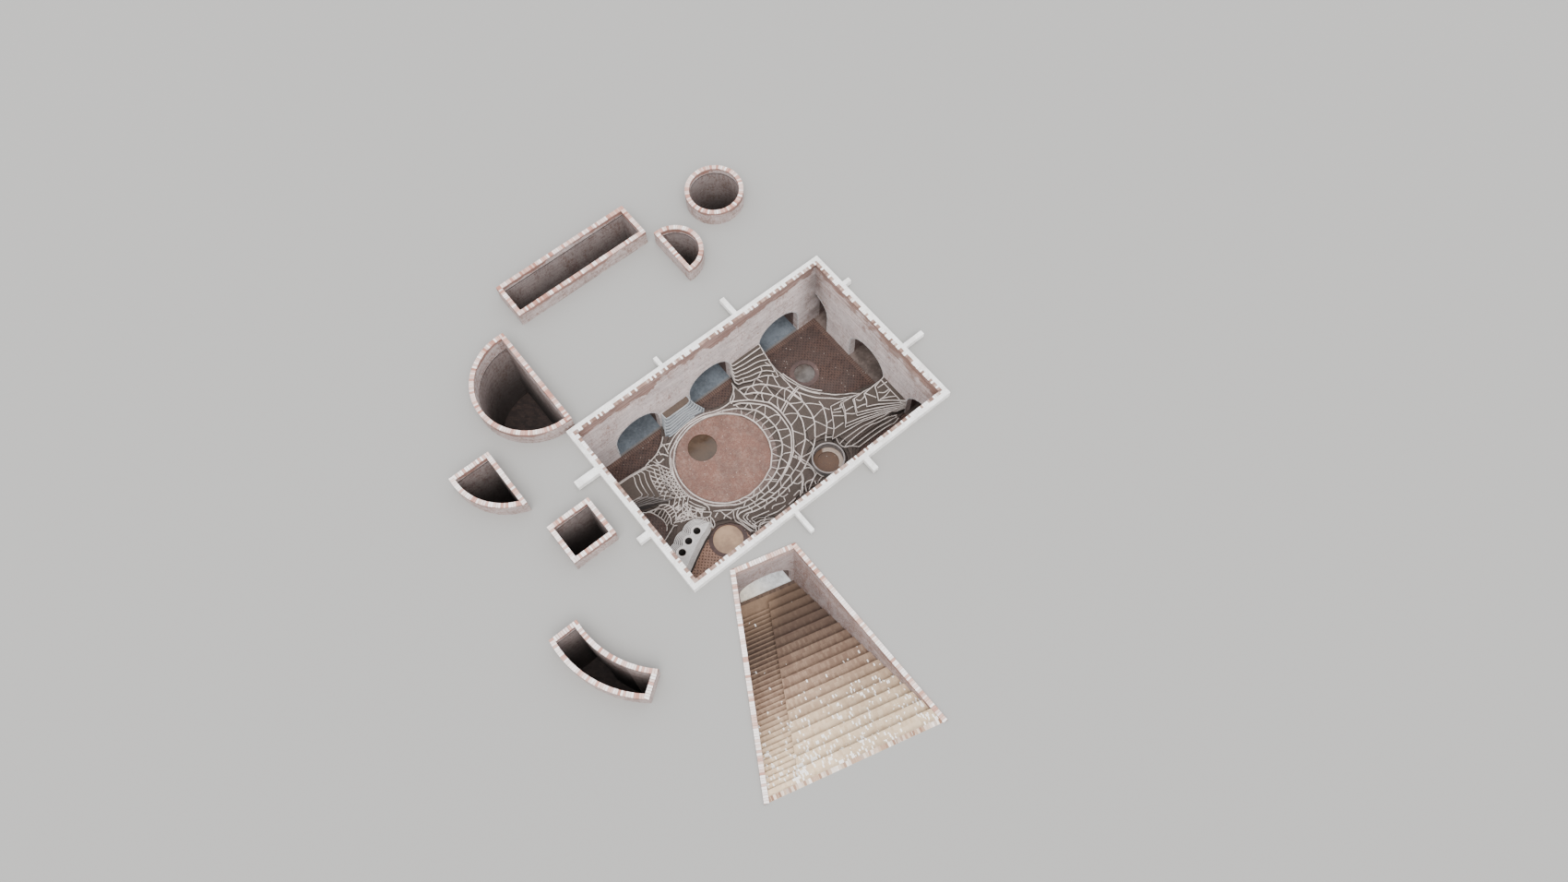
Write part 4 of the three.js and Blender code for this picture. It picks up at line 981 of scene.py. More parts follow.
        [(9.48, 3.16), (9.33, 2.82), (9.08, 2.53), (8.73, 2.16)],
        [(9.38, 3.06), (9.18, 2.72), (8.89, 2.42), (8.63, 2.16)],
        [(9.5, 3.18), (9.66, 3.22), (9.94, 3.15), (10.11, 3), (10.08, 2.74), (9.88, 2.47), (9.59, 2.37)],
        [(8.7, 2.94), (8.88, 2.72), (9.3, 2.73)],
        [(8.31, 2.88), (8.19, 2.65)],
        [(8.97, 2.11), (9.14, 2.42), (9.38, 2.45), (9.68, 2.39), (10.16, 2.66), (10.32, 2.65)],
        [(9.16, 2.11), (9.56, 2.3), (10.16, 2.62)],
        [(9.78, 2.07), (10.29, 2.29), (10.38, 2.24)],
        [(9.63, 2.07), (9.68, 2.24)],
        [(6.9, 2.17), (7.2, 2.15), (7.5, 2.17)],
    ],
    "craters": [
        [(2.24, 5.39), (2.63, 5.46), (2.95, 5.5), (3.25, 5.6)],
        [(1.95, 5.16), (1.5, 5.04), (1.03, 4.91)],
        [(2.11, 5.03), (1.95, 5.16)],
        [(2.55, 5.96), (2.91, 6.01)],
        [(2.58, 5.83), (2.97, 5.87)],
        [(2.59, 5.72), (2.99, 5.78)],
        [(1.96, 5.26), (2.18, 5.29), (2.43, 5.37), (2.68, 5.44), (2.84, 5.49)],
        [(2.84, 5.49), (2.95, 5.68), (3.08, 5.81), (3.19, 5.87)],
        [(2.84, 5.49), (2.96, 5.4), (3.15, 5.26), (3.23, 5.16)],
        [(3.19, 5.87), (3.25, 5.65), (3.3, 5.42), (3.45, 5.19), (3.64, 4.93), (3.9, 4.69), (4.08, 4.54)],
        [(3.26, 5.88), (3.39, 5.67), (3.53, 5.38), (3.58, 5.16), (3.81, 4.86)],
        [(4.08, 4.54), (4.01, 4.45), (3.89, 4.38), (3.89, 4.21), (3.87, 4.01), (3.77, 3.81), (3.56, 3.7),
         (3.37, 3.66)],
        [(2.84, 5.49), (2.88, 5.38), (2.98, 5.16), (3.1, 4.99), (3.28, 4.81), (3.46, 4.62), (3.56, 4.58)],
        [(2.41, 5.38), (2.58, 5.31), (2.77, 5.23), (2.69, 5.04), (2.83, 4.93), (3.04, 4.83), (3.16, 4.64),
         (3.37, 4.49), (3.51, 4.51)],
        [(3.58, 5.16), (3.57, 4.85), (3.54, 4.56), (3.43, 4.37), (3.4, 4.12)],
        [(3.18, 5.17), (3.12, 5.01), (3.04, 4.83)],
        [(3.52, 4.57), (3.7, 4.43), (3.89, 4.38)],
        [(3.58, 4.52), (3.55, 4.27), (3.55, 4.06), (3.51, 3.89)],
        [(3.7, 4.43), (3.65, 4.19), (3.62, 3.94), (3.58, 3.76)],
        [(3.88, 4.32), (3.71, 4.07), (3.59, 3.82)],
        [(2.2, 5.24), (2.35, 5.18), (2.44, 5.04)],
        [(2.43, 5.37), (2.46, 5.24), (2.54, 5.1)],
        [(2.77, 5.23), (2.92, 5.35)],
        [(2.98, 5.16), (3.13, 5.24)],
        [(2.54, 5.1), (2.77, 5.23)],
        [(3.46, 4.62), (3.61, 4.85)],
        [(3.28, 4.81), (3.36, 4.99), (3.58, 5.16)],
        [(3.3, 5.42), (3.18, 5.17)],
        [(3.1, 5.8), (3.13, 5.42), (3.22, 4.99), (3.33, 4.72), (3.64, 4.47)],
        [(2.31, 5.29), (2.68, 5.25), (3.02, 5.15), (3.35, 5.06)],
        [(2.07, 5.3), (2.37, 5.15), (2.66, 5), (2.88, 5.09)],
        [(3.32, 5.89), (3.45, 5.51), (3.67, 5.15), (3.93, 4.85)],
        [(3.56, 5.87), (3.69, 5.5), (3.91, 5.14), (4.01, 4.96)],
        [(3.45, 5.51), (3.18, 5.37), (2.97, 5.2), (2.85, 4.93)],
        [(3.67, 5.15), (3.4, 5.02), (3.23, 4.8), (3.21, 4.55)],
        [(3.87, 4.99), (3.61, 4.76), (3.49, 4.5)],
    ],
}


def dress(node, finish):
    """Gives a CAD node its finish"""
    mesh = NODES[node].data
    mesh.materials.clear()
    mesh.materials.append(finish)


# Each well: its round side's centre and radius, a point inside it, the depth of the painted ledge line, and the
# painted shade's lowest and highest level and strength
COMMON_PAINTED_SHADE = (GROUND - 3.6, WELL_RIM - 0.3, 0.86)
WELL_SHAFTS = {
    "long_well": (None, (6.1, 19.1), 0.4, COMMON_PAINTED_SHADE),
    "square_well": (None, (-2.5, 5.83), 0.4, (GROUND - 3.2, WELL_RIM + 0.3, 0.9)),
    "round_well": ((15.07, 17.83, 1.43), (15.07, 17.83), 0.4, COMMON_PAINTED_SHADE),
    "half_round_well": ((0.25, 14.4, 3.01), (-0.75, 14.4), 1.15, (GROUND - 4.4, WELL_RIM - 1.0, 0.82)),
    "small_half_round_well": ((10.88, 16.02, 1.38), (11.34, 16.02), 0.4, COMMON_PAINTED_SHADE),
    "quarter_well": ((-2.838, 11.903, 3.096), (-4.6, 11.1), 0.4, COMMON_PAINTED_SHADE),
    "arc_well": ((-1.099, 1.498, 5.61), (-6.1, 1.3), 0.4, COMMON_PAINTED_SHADE),
}
PALE_RIMS = ("square_well", "quarter_well", "arc_well")


def court_wall(name, lines, stained=False):
    return masonry(name, "9a786d", "c2a69c", "a8958f", "e2d7d4", 0.83, COPING - 0.05, 0.6, "7a5a50",
                   lines=lines, stained=stained, corner_grime_and_shade=True)[0].material


def pit_wall(name, lines, stripes=False, amount=0.6):
    return masonry(name, "7f6259", "a5897f", "7c6a63", "bdb0ad", amount, STAIR_RIM, 0.3, "7a5346",
                   lines=lines, stripes=stripes)[0].material


wall_finish = court_wall("court_wall_brick", 0.3)
streaked_wall_finish = court_wall("streaked_wall_brick", 0.8, stained=True)
pit_finish = pit_wall("pit_wall_brick", 0.5)
pit_end_finish = pit_wall("pit_end_brick", 0.2, stripes=True, amount=0.8)
vault_brick = masonry("vault_brick", "4d3c37", "6b5650", "4b403c", "857873", 0.3, COPING, 0.0)[0].material
rim_finish = rim_brick("rim_brick", [(0.0, "9c6a5a"), (0.25, "b18274"), (0.55, "c29c8e"), (0.8, "d6bbb0"),
                                     (1.0, "eee2dc")], 0.35, share=(0.48, 0.56))
pale_rim_finish = rim_brick("pale_rim_brick", [(0.0, "a77564"), (0.3, "c0978a"), (0.6, "dac0b5"),
                                               (1.0, "f2e9e4")], 0.6, share=(0.46, 0.54))
pit_rim_finish = rim_brick("pit_rim_brick", [(0.0, "ad7f6e"), (0.4, "cfae9f"), (1.0, "ecddd5")], 0.65, "f6f0ec",
                           (0.46, 0.55))
row_finish = rim_brick("row_brick", [(0.0, "6f5449"), (0.3, "8a6d60"), (0.7, "a1867a"), (1.0, "b7a196")], 0.95,
                       "f1ede9", (0.505, 0.535))
concrete = white_concrete()
curb_finish = pale_curb("pale_curb", "aa9e97", "d6ccc5", "6b5e58")
crater_curb_finish = pale_curb("crater_curb", "b8b2ae", "dbd6d2", "8a8480")
shaded_curb_finish = pale_curb("shaded_curb", "a0948d", "cdc3bc", "6b5e58", (7.1, 7.75))
grey_curb_finish = pale_curb("grey_curb", "8b8f93", "a8abad", "676a6d")
grey_courses = thin_courses("grey_courses", "5c6065", "7f8387", "454647", top_from=1.8)
crater_courses = thin_courses("crater_courses", "484542", "65615e", "353231", ("bebbb8", "dad7d5"), 1.4)
earth_courses = thin_courses("earth_courses", "2e2723", "4a3f39", "221d1b", ("2f2823", "51463e"))
# The west mound's courses are dark grey as painted shade of its flanks
sooty_courses = thin_courses("sooty_courses", "403b3a", "565050", "2b2727", ("332b26", "564a42"))
steps_finish = step_brick()

OWN_FINISHES = {
    "stair_end_wall": pit_end_finish, "east_wall": streaked_wall_finish, "north_mound_1": grey_courses,
    "crater_mound": crater_courses, "west_mound": sooty_courses, "garden_terraces": bed_earth(),
    "court_paving": court_brick(), "plaza_ring": ring_brick(), "round_tub": tub_render(),
    "base_slab": slab_floors(),
}
SHARED_FINISHES = (
    ("_coping", concrete), ("stair_left_wall", pit_finish), ("stair_right_wall", pit_finish), ("_wall", wall_finish),
    ("_room_", vault_brick), ("stair_tunnel", vault_brick), ("link_vault", vault_brick), ("_steps", steps_finish),
    ("stair_foot_edge", steps_finish), ("_mound", earth_courses),
)
for name in NODES:
    if name in WELL_SHAFTS:
        dress(name, well_masonry(name, *WELL_SHAFTS[name]))
    elif name in OWN_FINISHES:
        dress(name, OWN_FINISHES[name])
    else:
        dress(name, next(finish for part, finish in SHARED_FINISHES if part in name))


# ---- Making pieces ----

def new_object(name, data):
    made = bpy.data.objects.new(name, data)
    bpy.context.scene.collection.objects.link(made)
    return made


def merged_shape(mesh):
    """A mesh ready for editing, with its double points merged"""
    shape = bmesh.new()
    shape.from_mesh(mesh)
    bmesh.ops.remove_doubles(shape, verts=shape.verts, dist=1e-4)
    return shape


def close_shape(shape, mesh):
    shape.to_mesh(mesh)
    shape.free()
    return mesh


def keep_piece(name, mesh, finish):
    """A finished mesh becomes a piece of the dwelling"""
    mesh.name = name
    piece = new_object(name, mesh)
    mesh.materials.clear()
    mesh.materials.append(finish)
    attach(piece, "root")
    return piece


def path_mesh(lines, closed=()):
    """Polylines as loose edges"""
    points, edges = [], []
    for index, line in enumerate(lines):
        start = len(points)
        points.extend(line)
        edges.extend((start + i, start + i + 1) for i in range(len(line) - 1))
        if index in closed:
            edges.append((start + len(line) - 1, start))
    mesh = bpy.data.meshes.new("path")
    mesh.from_pydata(points, edges, [])
    return mesh


def run_tree(tree, mesh, values):
    """Evaluates a geometry tree on a mesh once, and returns the result as a plain mesh"""
    carrier = new_object("carrier", mesh)
    modifier = carrier.modifiers.new("tree", "NODES")
    modifier.node_group = tree
    for item in tree.interface.items_tree:
        if item.item_type == "SOCKET" and item.in_out == "INPUT" and item.name in values:
            modifier[item.identifier] = values[item.name]
    bpy.context.view_layer.update()
    depsgraph = bpy.context.evaluated_depsgraph_get()
    result = bpy.data.meshes.new_from_object(
        carrier.evaluated_get(depsgraph), preserve_all_data_layers=True, depsgraph=depsgraph)
    carrier.modifiers.remove(modifier)
    bpy.data.objects.remove(carrier)
    return result


def sweep_tree():
    """A rounded bar along each path, upright, its top a set height over the path"""
    inputs = {"Geometry": "Geometry", "Width": 0.09, "Depth": 0.2, "Above": 0.04, "Round": 0.02,
              "Finish": "Material"}
    w, inlets, outlets = new_group("sweep along paths", inputs, {"Geometry": "Geometry"}, "GeometryNodeTree")
    curve = w.first("GeometryNodeMeshToCurve", {"Mesh": inlets["Geometry"]})
    upright = w.first("GeometryNodeSetCurveNormal", {"Curve": curve}, mode="Z_UP")
    bar = w.add("GeometryNodeCurvePrimitiveQuadrilateral", {"Width": inlets["Width"], "Height": inlets["Depth"]})
    softened = w.first("GeometryNodeFilletCurve", {"Curve": bar.outputs[0], "Count": 1, "Radius": inlets["Round"]},
                       mode="POLY")
    lift = w.minus(w.times(inlets["Depth"], 0.5), inlets["Above"])
    section = w.first("GeometryNodeTransform", {"Geometry": softened, "Translation": w.join(0.0, lift)})
    swept = w.first("GeometryNodeCurveToMesh", {"Curve": upright, "Profile Curve": section, "Fill Caps": True})
    real = w.first("GeometryNodeRealizeInstances", {"Geometry": swept})
    done = w.first("GeometryNodeSetMaterial", {"Geometry": real, "Material": inlets["Finish"]})
    w.feed(outlets[0], done)
    return w.tree


def laying_tree():
    """Bricks laid one after another along each path, each with its own tone and small error"""
    inputs = {"Geometry": "Geometry", "Brick": "Object", "Pitch": HEADER_PITCH, "Up": (0, 0, 1), "Error": 0.003,
              "Seed": 1, "Patch Scale": 4.4, "Finish": "Material"}
    w, inlets, outlets = new_group("lay bricks along paths", inputs, {"Geometry": "Geometry"}, "GeometryNodeTree")
    curve = w.first("GeometryNodeMeshToCurve", {"Mesh": inlets["Geometry"]})
    spaced = w.first("GeometryNodeResampleCurve", {"Curve": curve, "Length": inlets["Pitch"]}, mode="LENGTH")
    tangent = w.first("GeometryNodeInputTangent")
    along = w.first("FunctionNodeAlignRotationToVector", {"Vector": tangent}, axis="X")
    facing = w.first("FunctionNodeAlignRotationToVector", {"Rotation": along, "Vector": inlets["Up"]}, axis="Z",
                     pivot_axis="X")
    brick = w.add("GeometryNodeObjectInfo", {"Object": inlets["Brick"]}).outputs["Geometry"]
    laid = w.first("GeometryNodeInstanceOnPoints", {"Points": spaced, "Instance": brick, "Rotation": facing})
    nudge = w.add("FunctionNodeRandomValue", data_type="FLOAT_VECTOR")
    w.feed(nudge.inputs[0], (-1, -1, -1))
    w.feed(nudge.inputs[1], (1, 1, 1))
    w.feed(nudge.inputs["Seed"], inlets["Seed"])
    offset = w.first("ShaderNodeVectorMath", {0: nudge.outputs[0], "Scale": inlets["Error"]}, operation="SCALE")
    moved = w.first("GeometryNodeTranslateInstances", {"Instances": laid, "Translation": offset})
    tone = w.add("FunctionNodeRandomValue", data_type="FLOAT")
    w.feed(tone.inputs[2], 0.0)
    w.feed(tone.inputs[3], 1.0)
    w.feed(tone.inputs["Seed"], inlets["Seed"])
    marked = w.first("GeometryNodeStoreNamedAttribute",
                     {"Geometry": moved, "Name": "tone", "Value": tone.outputs[1]}, data_type="FLOAT",
                     domain="INSTANCE")
    place = w.first("GeometryNodeInputPosition")
    patch = w.noise(place, inlets["Patch Scale"], 2.0, 0.6)
    patched = w.first("GeometryNodeStoreNamedAttribute", {"Geometry": marked, "Name": "patch", "Value": patch},
                      data_type="FLOAT", domain="INSTANCE")
    real = w.first("GeometryNodeRealizeInstances", {"Geometry": patched})
    done = w.first("GeometryNodeSetMaterial", {"Geometry": real, "Material": inlets["Finish"]})
    w.feed(outlets[0], done)
    return w.tree


SWEEP = sweep_tree()
LAYING = laying_tree()


def brick_mould(size):
    """One brick with worn edges, as a mould for the laying tree; it isn't kept"""
    shape = bmesh.new()
    bmesh.ops.create_cube(shape, size=1.0, matrix=Matrix.Diagonal((*size, 1.0)))
    bmesh.ops.bevel(shape, geom=list(shape.edges), offset=WORN_EDGE, segments=1, affect="EDGES")
    return new_object("mould", close_shape(shape, bpy.data.meshes.new("mould")))


def lay_bricks_along(name, lines, size, finish, seed, pitch=HEADER_PITCH, up=(0, 0, 1), error=0.003,
                     closed=(), patch_scale=4.4):
    mould = brick_mould(size)
    values = {"Brick": mould, "Pitch": pitch, "Up": up, "Error": error, "Seed": seed, "Patch Scale": patch_scale,
              "Finish": finish}
    mesh = run_tree(LAYING, path_mesh(lines, closed), values)
    bpy.data.objects.remove(mould)
    return keep_piece(name, mesh, finish)


def sweep_along(name, lines, width, finish, depth, above, closed=()):
    values = {"Width": width, "Depth": depth, "Above": above, "Round": width * 0.2, "Finish": finish}
    mesh = run_tree(SWEEP, path_mesh(lines, closed), values)
    shape = bmesh.new()
    shape.from_mesh(mesh)
    bmesh.ops.remove_doubles(shape, verts=shape.verts, dist=1e-5)
    bmesh.ops.recalc_face_normals(shape, faces=shape.faces)
    return keep_piece(name, close_shape(shape, mesh), finish)


def smooth_line(points, step=0.07, closed=False):
    """A rounded line through plan points, with a point about every step"""
    points = [Vector(point) for point in points]
    count = len(points)
    fine = []
    for i in range(count if closed else count - 1):
        a, b = points[i], points[(i + 1) % count]
        before = points[(i - 1) % count] if closed or i > 0 else a * 2 - b
        after = points[(i + 2) % count] if closed or i + 2 < count else b * 2 - a
        pieces = max(1, round((b - a).length / step))
        for k in range(pieces):
            t = k / pieces
            fine.append(0.5 * (2 * a + (b - before) * t + (2 * before - 5 * a + 4 * b - after) * t * t
                               + (3 * a - before - 3 * b + after) * t * t * t))
    if not closed:
        fine.append(points[-1])
    return fine


# ---- Rims of brick headers ----

def top_loops(node, level):
    """The closed edges of a node's faces at one level, as lists of points"""
    shape = merged_shape(NODES[node].data)
    flat = [f for f in shape.faces if f.normal.z > 0.9 and abs(f.calc_center_median().z - level) < 0.01]
    following = {}
    for face in flat:
        for loop in face.loops:
            others = [f for f in loop.edge.link_faces if f in flat and f is not face]
            if not others:
                following[loop.vert.index] = loop.link_loop_next.vert.index
    places = {v.index: v.co.copy() for v in shape.verts}
    shape.free()
    loops = []
    while following:
        start = next(iter(following))
        chain, current = [], start
        while current in following:
            chain.append(places[current])
            current = following.pop(current)
        loops.append(chain)
    return loops


def plan_area(loop):
    return sum(a.x * b.y - b.x * a.y for a, b in zip(loop, loop[1:] + loop[:1])) / 2


def shaft_outlines(well):
    """A well's outlines at its rim, from the inner to the outer one, all the same way round"""
    loops = sorted(top_loops(well, WELL_RIM), key=lambda loop: abs(plan_area(loop)))
    return [loop if plan_area(loop) > 0 else loop[::-1] for loop in loops]


def turn_at(loop, i):
    before = (loop[i] - loop[i - 1]).xy
    after = (loop[(i + 1) % len(loop)] - loop[i]).xy
    return math.atan2(before.x * after.y - before.y * after.x, before.dot(after))


def offset_loop(loop, distance):
    """A plan outline moved to its right-hand side by a distance, with mitred corners"""
    moved = []
    for i in range(len(loop)):
        before = (loop[i] - loop[i - 1]).xy.normalized()
        after = (loop[(i + 1) % len(loop)] - loop[i]).xy.normalized()
        middle = (Vector((before.y, -before.x)) + Vector((after.y, -after.x))).normalized()
        reach = distance / max(0.35, middle.dot(Vector((after.y, -after.x))))
        moved.append(Vector((loop[i].x + middle.x * reach, loop[i].y + middle.y * reach, loop[i].z)))
    return moved


def resized(line, at_start, at_end):
    """A line made longer at its start and shorter at its end, or the other way round"""
    line = list(line)
    line[0] = line[0] - (line[1] - line[0]).normalized() * at_start
    while len(line) > 2 and (line[-1] - line[-2]).length < at_end:
        at_end -= (line[-1] - line[-2]).length
        line.pop()
    line[-1] = line[-1] - (line[-1] - line[-2]).normalized() * at_end
    return line


def rim_runs(loop, sharp=math.radians(20)):
    """A rim's middle line, cut into runs at its corners, which overlap as bricks do"""
    corners = [i for i in range(len(loop)) if abs(turn_at(loop, i)) > sharp]
    if not corners:
        return [loop], True
    runs = []
    for a, b in zip(corners, corners[1:] + corners[:1]):
        span = (b - a) % len(loop) or len(loop)
        run = [loop[(a + k) % len(loop)] for k in range(span + 1)]
        runs.append(resized(run, SKIN / 2 - HEADER_PITCH / 2, SKIN / 2 + HEADER_PITCH / 2))
    return runs, False


def header(length):
    """The size of a brick laid across a rim"""
    return HEADER_WIDTH, length, HEADER_HEIGHT


def header_level(top, proud=0.008):
    """The level of the headers' middles, when they stand a little proud of what they lie on"""
    return top + proud - HEADER_HEIGHT / 2


for seed, name in enumerate(sorted(WELL_SHAFTS)):
    middle = offset_loop(shaft_outlines(name)[0], SKIN / 2)
    for point in middle:
        point.z = header_level(WELL_RIM)
    runs, whole = rim_runs(middle)
    lay_bricks_along(name + "_rim_bricks", runs, header(SKIN + 0.006),
                     pale_rim_finish if name in PALE_RIMS else rim_finish, seed + 3, closed=(0,) if whole else ())

# The court's inner row of headers, beside and a little below the white bands
ROW = WALL - BAND
row_level = header_level(COPING - 0.015)
near, far_x, far_y = BAND + ROW / 2, COURT_X - BAND - ROW / 2, COURT_Y - BAND - ROW / 2
half = HEADER_PITCH / 2
row_ends = (((BAND + half, near), (COURT_X - WALL - half, near)),
            ((far_x, BAND + half), (far_x, COURT_Y - WALL - half)),
            ((COURT_X - BAND - half, far_y), (WALL + half, far_y)),
            ((near, COURT_Y - BAND - half), (near, WALL + half)))
row_runs = [[site(*start, row_level), site(*end, row_level)] for start, end in row_ends]
lay_bricks_along("coping_row_bricks", row_runs, header(ROW + 0.004), row_finish, 21, patch_scale=3.4)


# ---- The stair pit's outline ----

def meet(first, second):
    (a, p), (b, q) = first, second
    determinant = a.x * b.y - a.y * b.x
    return Vector(((p * b.y - q * a.y) / determinant, (a.x * q - b.x * p) / determinant))


def pit_corners(level, **insets):
    """The stair pit's corners at a level, with some sides moved inwards: left front, right front, right and left
    back"""
    order = ["left", "foot", "right", "end"]
    lines = {n: (Vector(PIT_SIDES[n][0]), PIT_SIDES[n][1] - insets.get(n, 0.0)) for n in order}
    corners = [meet(lines[a], lines[b]) for a, b in zip(order, order[1:] + order[:1])]
    return [site(corner.x, corner.y, level) for corner in corners]


# ---- Curbs seated on the terraces and mounds ----

MOUNDS = [name for name in NODES if "mound" in name]
CARRIERS = ["court_paving", "garden_terraces", "plaza_ring"] + MOUNDS


def carrier_tree():
    points, triangles = [], []
    for name in CARRIERS:
        mesh = NODES[name].data
        start = len(points)
        points.extend(v.co.copy() for v in mesh.vertices)
        triangles.extend(tuple(start + i for i in face.vertices) for face in mesh.polygons)
    return BVHTree.FromPolygons(points, triangles)


CARRIER = carrier_tree()


def seat_level(point, reach=0.05):
    """The highest carrying surface at a plan point and close round it"""
    levels = []
    for dx, dy in ((0, 0), (reach, 0), (-reach, 0), (0, reach), (0, -reach)):
        hit = CARRIER.ray_cast(Vector((point.x + dx, point.y + dy, COPING)), Vector((0, 0, -1)))[0]
        if hit is not None:
            levels.append(hit.z)
    return max(levels) if levels else FLOOR


def seated_line(points, closed=False):
    line = [site(p.x, p.y) for p in smooth_line(points, closed=closed)]
    levels = [seat_level(p) for p in line]
    count = len(levels)
    for i, point in enumerate(line):
        beside = [levels[j % count] if closed else levels[min(max(j, 0), count - 1)] for j in range(i - 2, i + 3)]
        point.z = sum(beside) / len(beside)
    return line


def around(centre, reach, degrees):
    angle = math.radians(degrees)
    return centre[0] + reach * math.cos(angle), centre[1] + reach * math.sin(angle)


def slanting_line(start, lean, inner=3.05, outer=4.3, parts=5):
    """A curb that leaves the plaza at an angle and leans by another one on its way outwards"""
    points = [around(PLAZA, inner + (outer - inner) * k / parts, start + lean * k / parts) for k in range(parts + 1)]
    return [(round(x, 2), round(y, 2)) for x, y in points]


# The net west of the plaza, whose curbs cross the rings in both directions
NET_START, NET_SPACING, NET_COUNT, NET_LEAN = 156, 4.5, 9, 13
CURB_LINES["west_ribs"] += [slanting_line(NET_START + NET_SPACING * step, lean)
                            for step in range(NET_COUNT) for lean in (-NET_LEAN, NET_LEAN)]
CURB_WIDTHS = {"rings": 0.075, "edges": 0.065, "ribs": 0.045, "fan": 0.05, "west": 0.055, "west_ribs": 0.045,
               "flank": 0.045, "south": 0.055, "craters": 0.05}
for name, lines in CURB_LINES.items():
    seats = [seated_line(line) for line in lines]
    finish = shaded_curb_finish if name == "flank" else curb_finish
    sweep_along("curbs_" + name, seats, CURB_WIDTHS[name], finish, depth=0.22, above=0.04)


TOUCHING = 0.004
SHORTEST_EDGE = 0.3


def course_edges(node):
    """The upper edges of a mound's courses, as chains of points, without those against a wall or the kerb"""
    shape = merged_shape(NODES[node].data)

    def on_wall(vert):
        x, y = vert.co.xy
        return (x < COURT_LOW.x + TOUCHING or x > COURT_HIGH.x - TOUCHING
                or y < COURT_LOW.y + TOUCHING or y > COURT_HIGH.y - TOUCHING)

    def on_plaza(vert):
        away = (vert.co.xy - site(*PLAZA).xy).length
        return abs(away - PLAZA_RADIUS - KERB) < TOUCHING

    nexts = {}
    for face in shape.faces:
        if face.normal.z < 0.9:
            continue
        for loop in face.loops:
            others = [f for f in loop.edge.link_faces if f is not face]
            if len(others) != 1 or abs(others[0].normal.z) > 0.5:
                continue
            if others[0].calc_center_median().z > face.calc_center_median().z:
                continue
            a, b = loop.vert, loop.link_loop_next.vert
            if (on_wall(a) and on_wall(b)) or (on_plaza(a) and on_plaza(b)):
                continue
            nexts[a.index] = b.index
    places = {v.index: v.co.copy() for v in shape.verts}
    shape.free()
    chains = []
    starts = [a for a in nexts if a not in set(nexts.values())]
    while nexts:
        current = starts.pop() if starts else next(iter(nexts))
        chain = [places[current]]
        while current in nexts:
            current = nexts.pop(current)
            chain.append(places[current])
        if len(chain) > 1 and sum((a - b).length for a, b in zip(chain, chain[1:])) > SHORTEST_EDGE:
            chains.append(chain)
    return chains


def lowered(chain, drop):
    return [Vector((p.x, p.y, p.z - drop)) for p in chain]


def south_eastern_part(chain):
    """The longest run of the crater mound's edge that lies south-east of a line over its top, off the wall"""
    runs = [[]]
    for p in chain:
        x, y = p.x - ORIGIN.x, p.y - ORIGIN.y
        if x > WALL + 0.1 and y < 2.75 + (x - 0.9) * 0.42:
            runs[-1].append(p)
        else:
            runs.append([])
    return max(runs, key=len)


# The edge's width and finish where they aren't the usual ones, and how far lines lie under the edges: half a
# course of the north mound, and the thin courses on the crater mound's flank
EDGE_LOOKS = {
    "north_mound_1": (0.06, grey_curb_finish), "west_mound": (0.05, shaded_curb_finish),
    "crater_mound": (0.048, crater_curb_finish)}
HALF_COURSE = 1.6 / 14
FLANK_COURSE = 0.17
for name in MOUNDS:
    edges = course_edges(name)
    lines = list(edges)
    if name == "north_mound_1":
        lines += [lowered(chain, HALF_COURSE) for chain in edges]
    if name == "crater_mound":
        flank = south_eastern_part(min(edges, key=lambda chain: chain[0].z))
        lines += [lowered(flank, FLANK_COURSE * step) for step in (1, 2, 3)]
    width, finish = EDGE_LOOKS.get(name, (0.055, curb_finish))
    sweep_along(name + "_course_edges", lines, width, finish, depth=0.07, above=0.015)


# The lips of the crater mound's three holes
CRATERS = ((1.31, 3.41), (1.97, 3.71), (2.67, 3.89))
LIP_RADIUS = 0.27
LIP_POINTS = 24
lips = [[around(crater, LIP_RADIUS, 360 / LIP_POINTS * step) for step in range(LIP_POINTS)] for crater in CRATERS]
sweep_along("crater_lips", [seated_line(lip, closed=True) for lip in lips], 0.07, crater_curb_finish, depth=0.12,
            above=0.02, closed=range(len(lips)))


# ---- Still water in the basins ----

def add_water(name, centre, radius, finish):
    shape = bmesh.new()
    bmesh.ops.create_cone(shape, cap_ends=True, segments=64, radius1=radius, radius2=radius, depth=WATER_DEPTH)
    bmesh.ops.translate(shape, verts=shape.verts, vec=site(*centre, WATER - WATER_DEPTH / 2))
    keep_piece(name, close_shape(shape, bpy.data.meshes.new(name)), finish)


WATERS = (("plaza_pool_water", muddy_water("olive_water", "38291c", "473627")),
          ("east_pool_water", muddy_water("grey_water", "3c332d", "5f5955")),
          ("south_pool_water", muddy_water("sandy_water", "94745a", "b3906f")))
for (name, finish), (centre, radius) in zip(WATERS, BASINS):
    add_water(name, centre, radius - 0.002, finish)


# ---- Brick edges round the arches, rims of the stair pit, rows on the floor ----

def arch_line(place, centre, low, high, radius=ARCH_RADIUS + 0.035, steps=48):
    """An arch's edge on a wall face, down to the floor, kept between two limits across it"""
    line = []
    for step in range(steps + 1):
        angle = math.pi * step / steps
        across = centre + radius * math.cos(angle)
        if low <= across <= high:
            line.append(place(across, SPRING + radius * math.sin(angle)))
    if line and centre + radius <= high:
        line.insert(0, place(centre + radius, FLOOR))
    if line and centre - radius >= low:
        line.append(place(centre - radius, FLOOR))
    return line


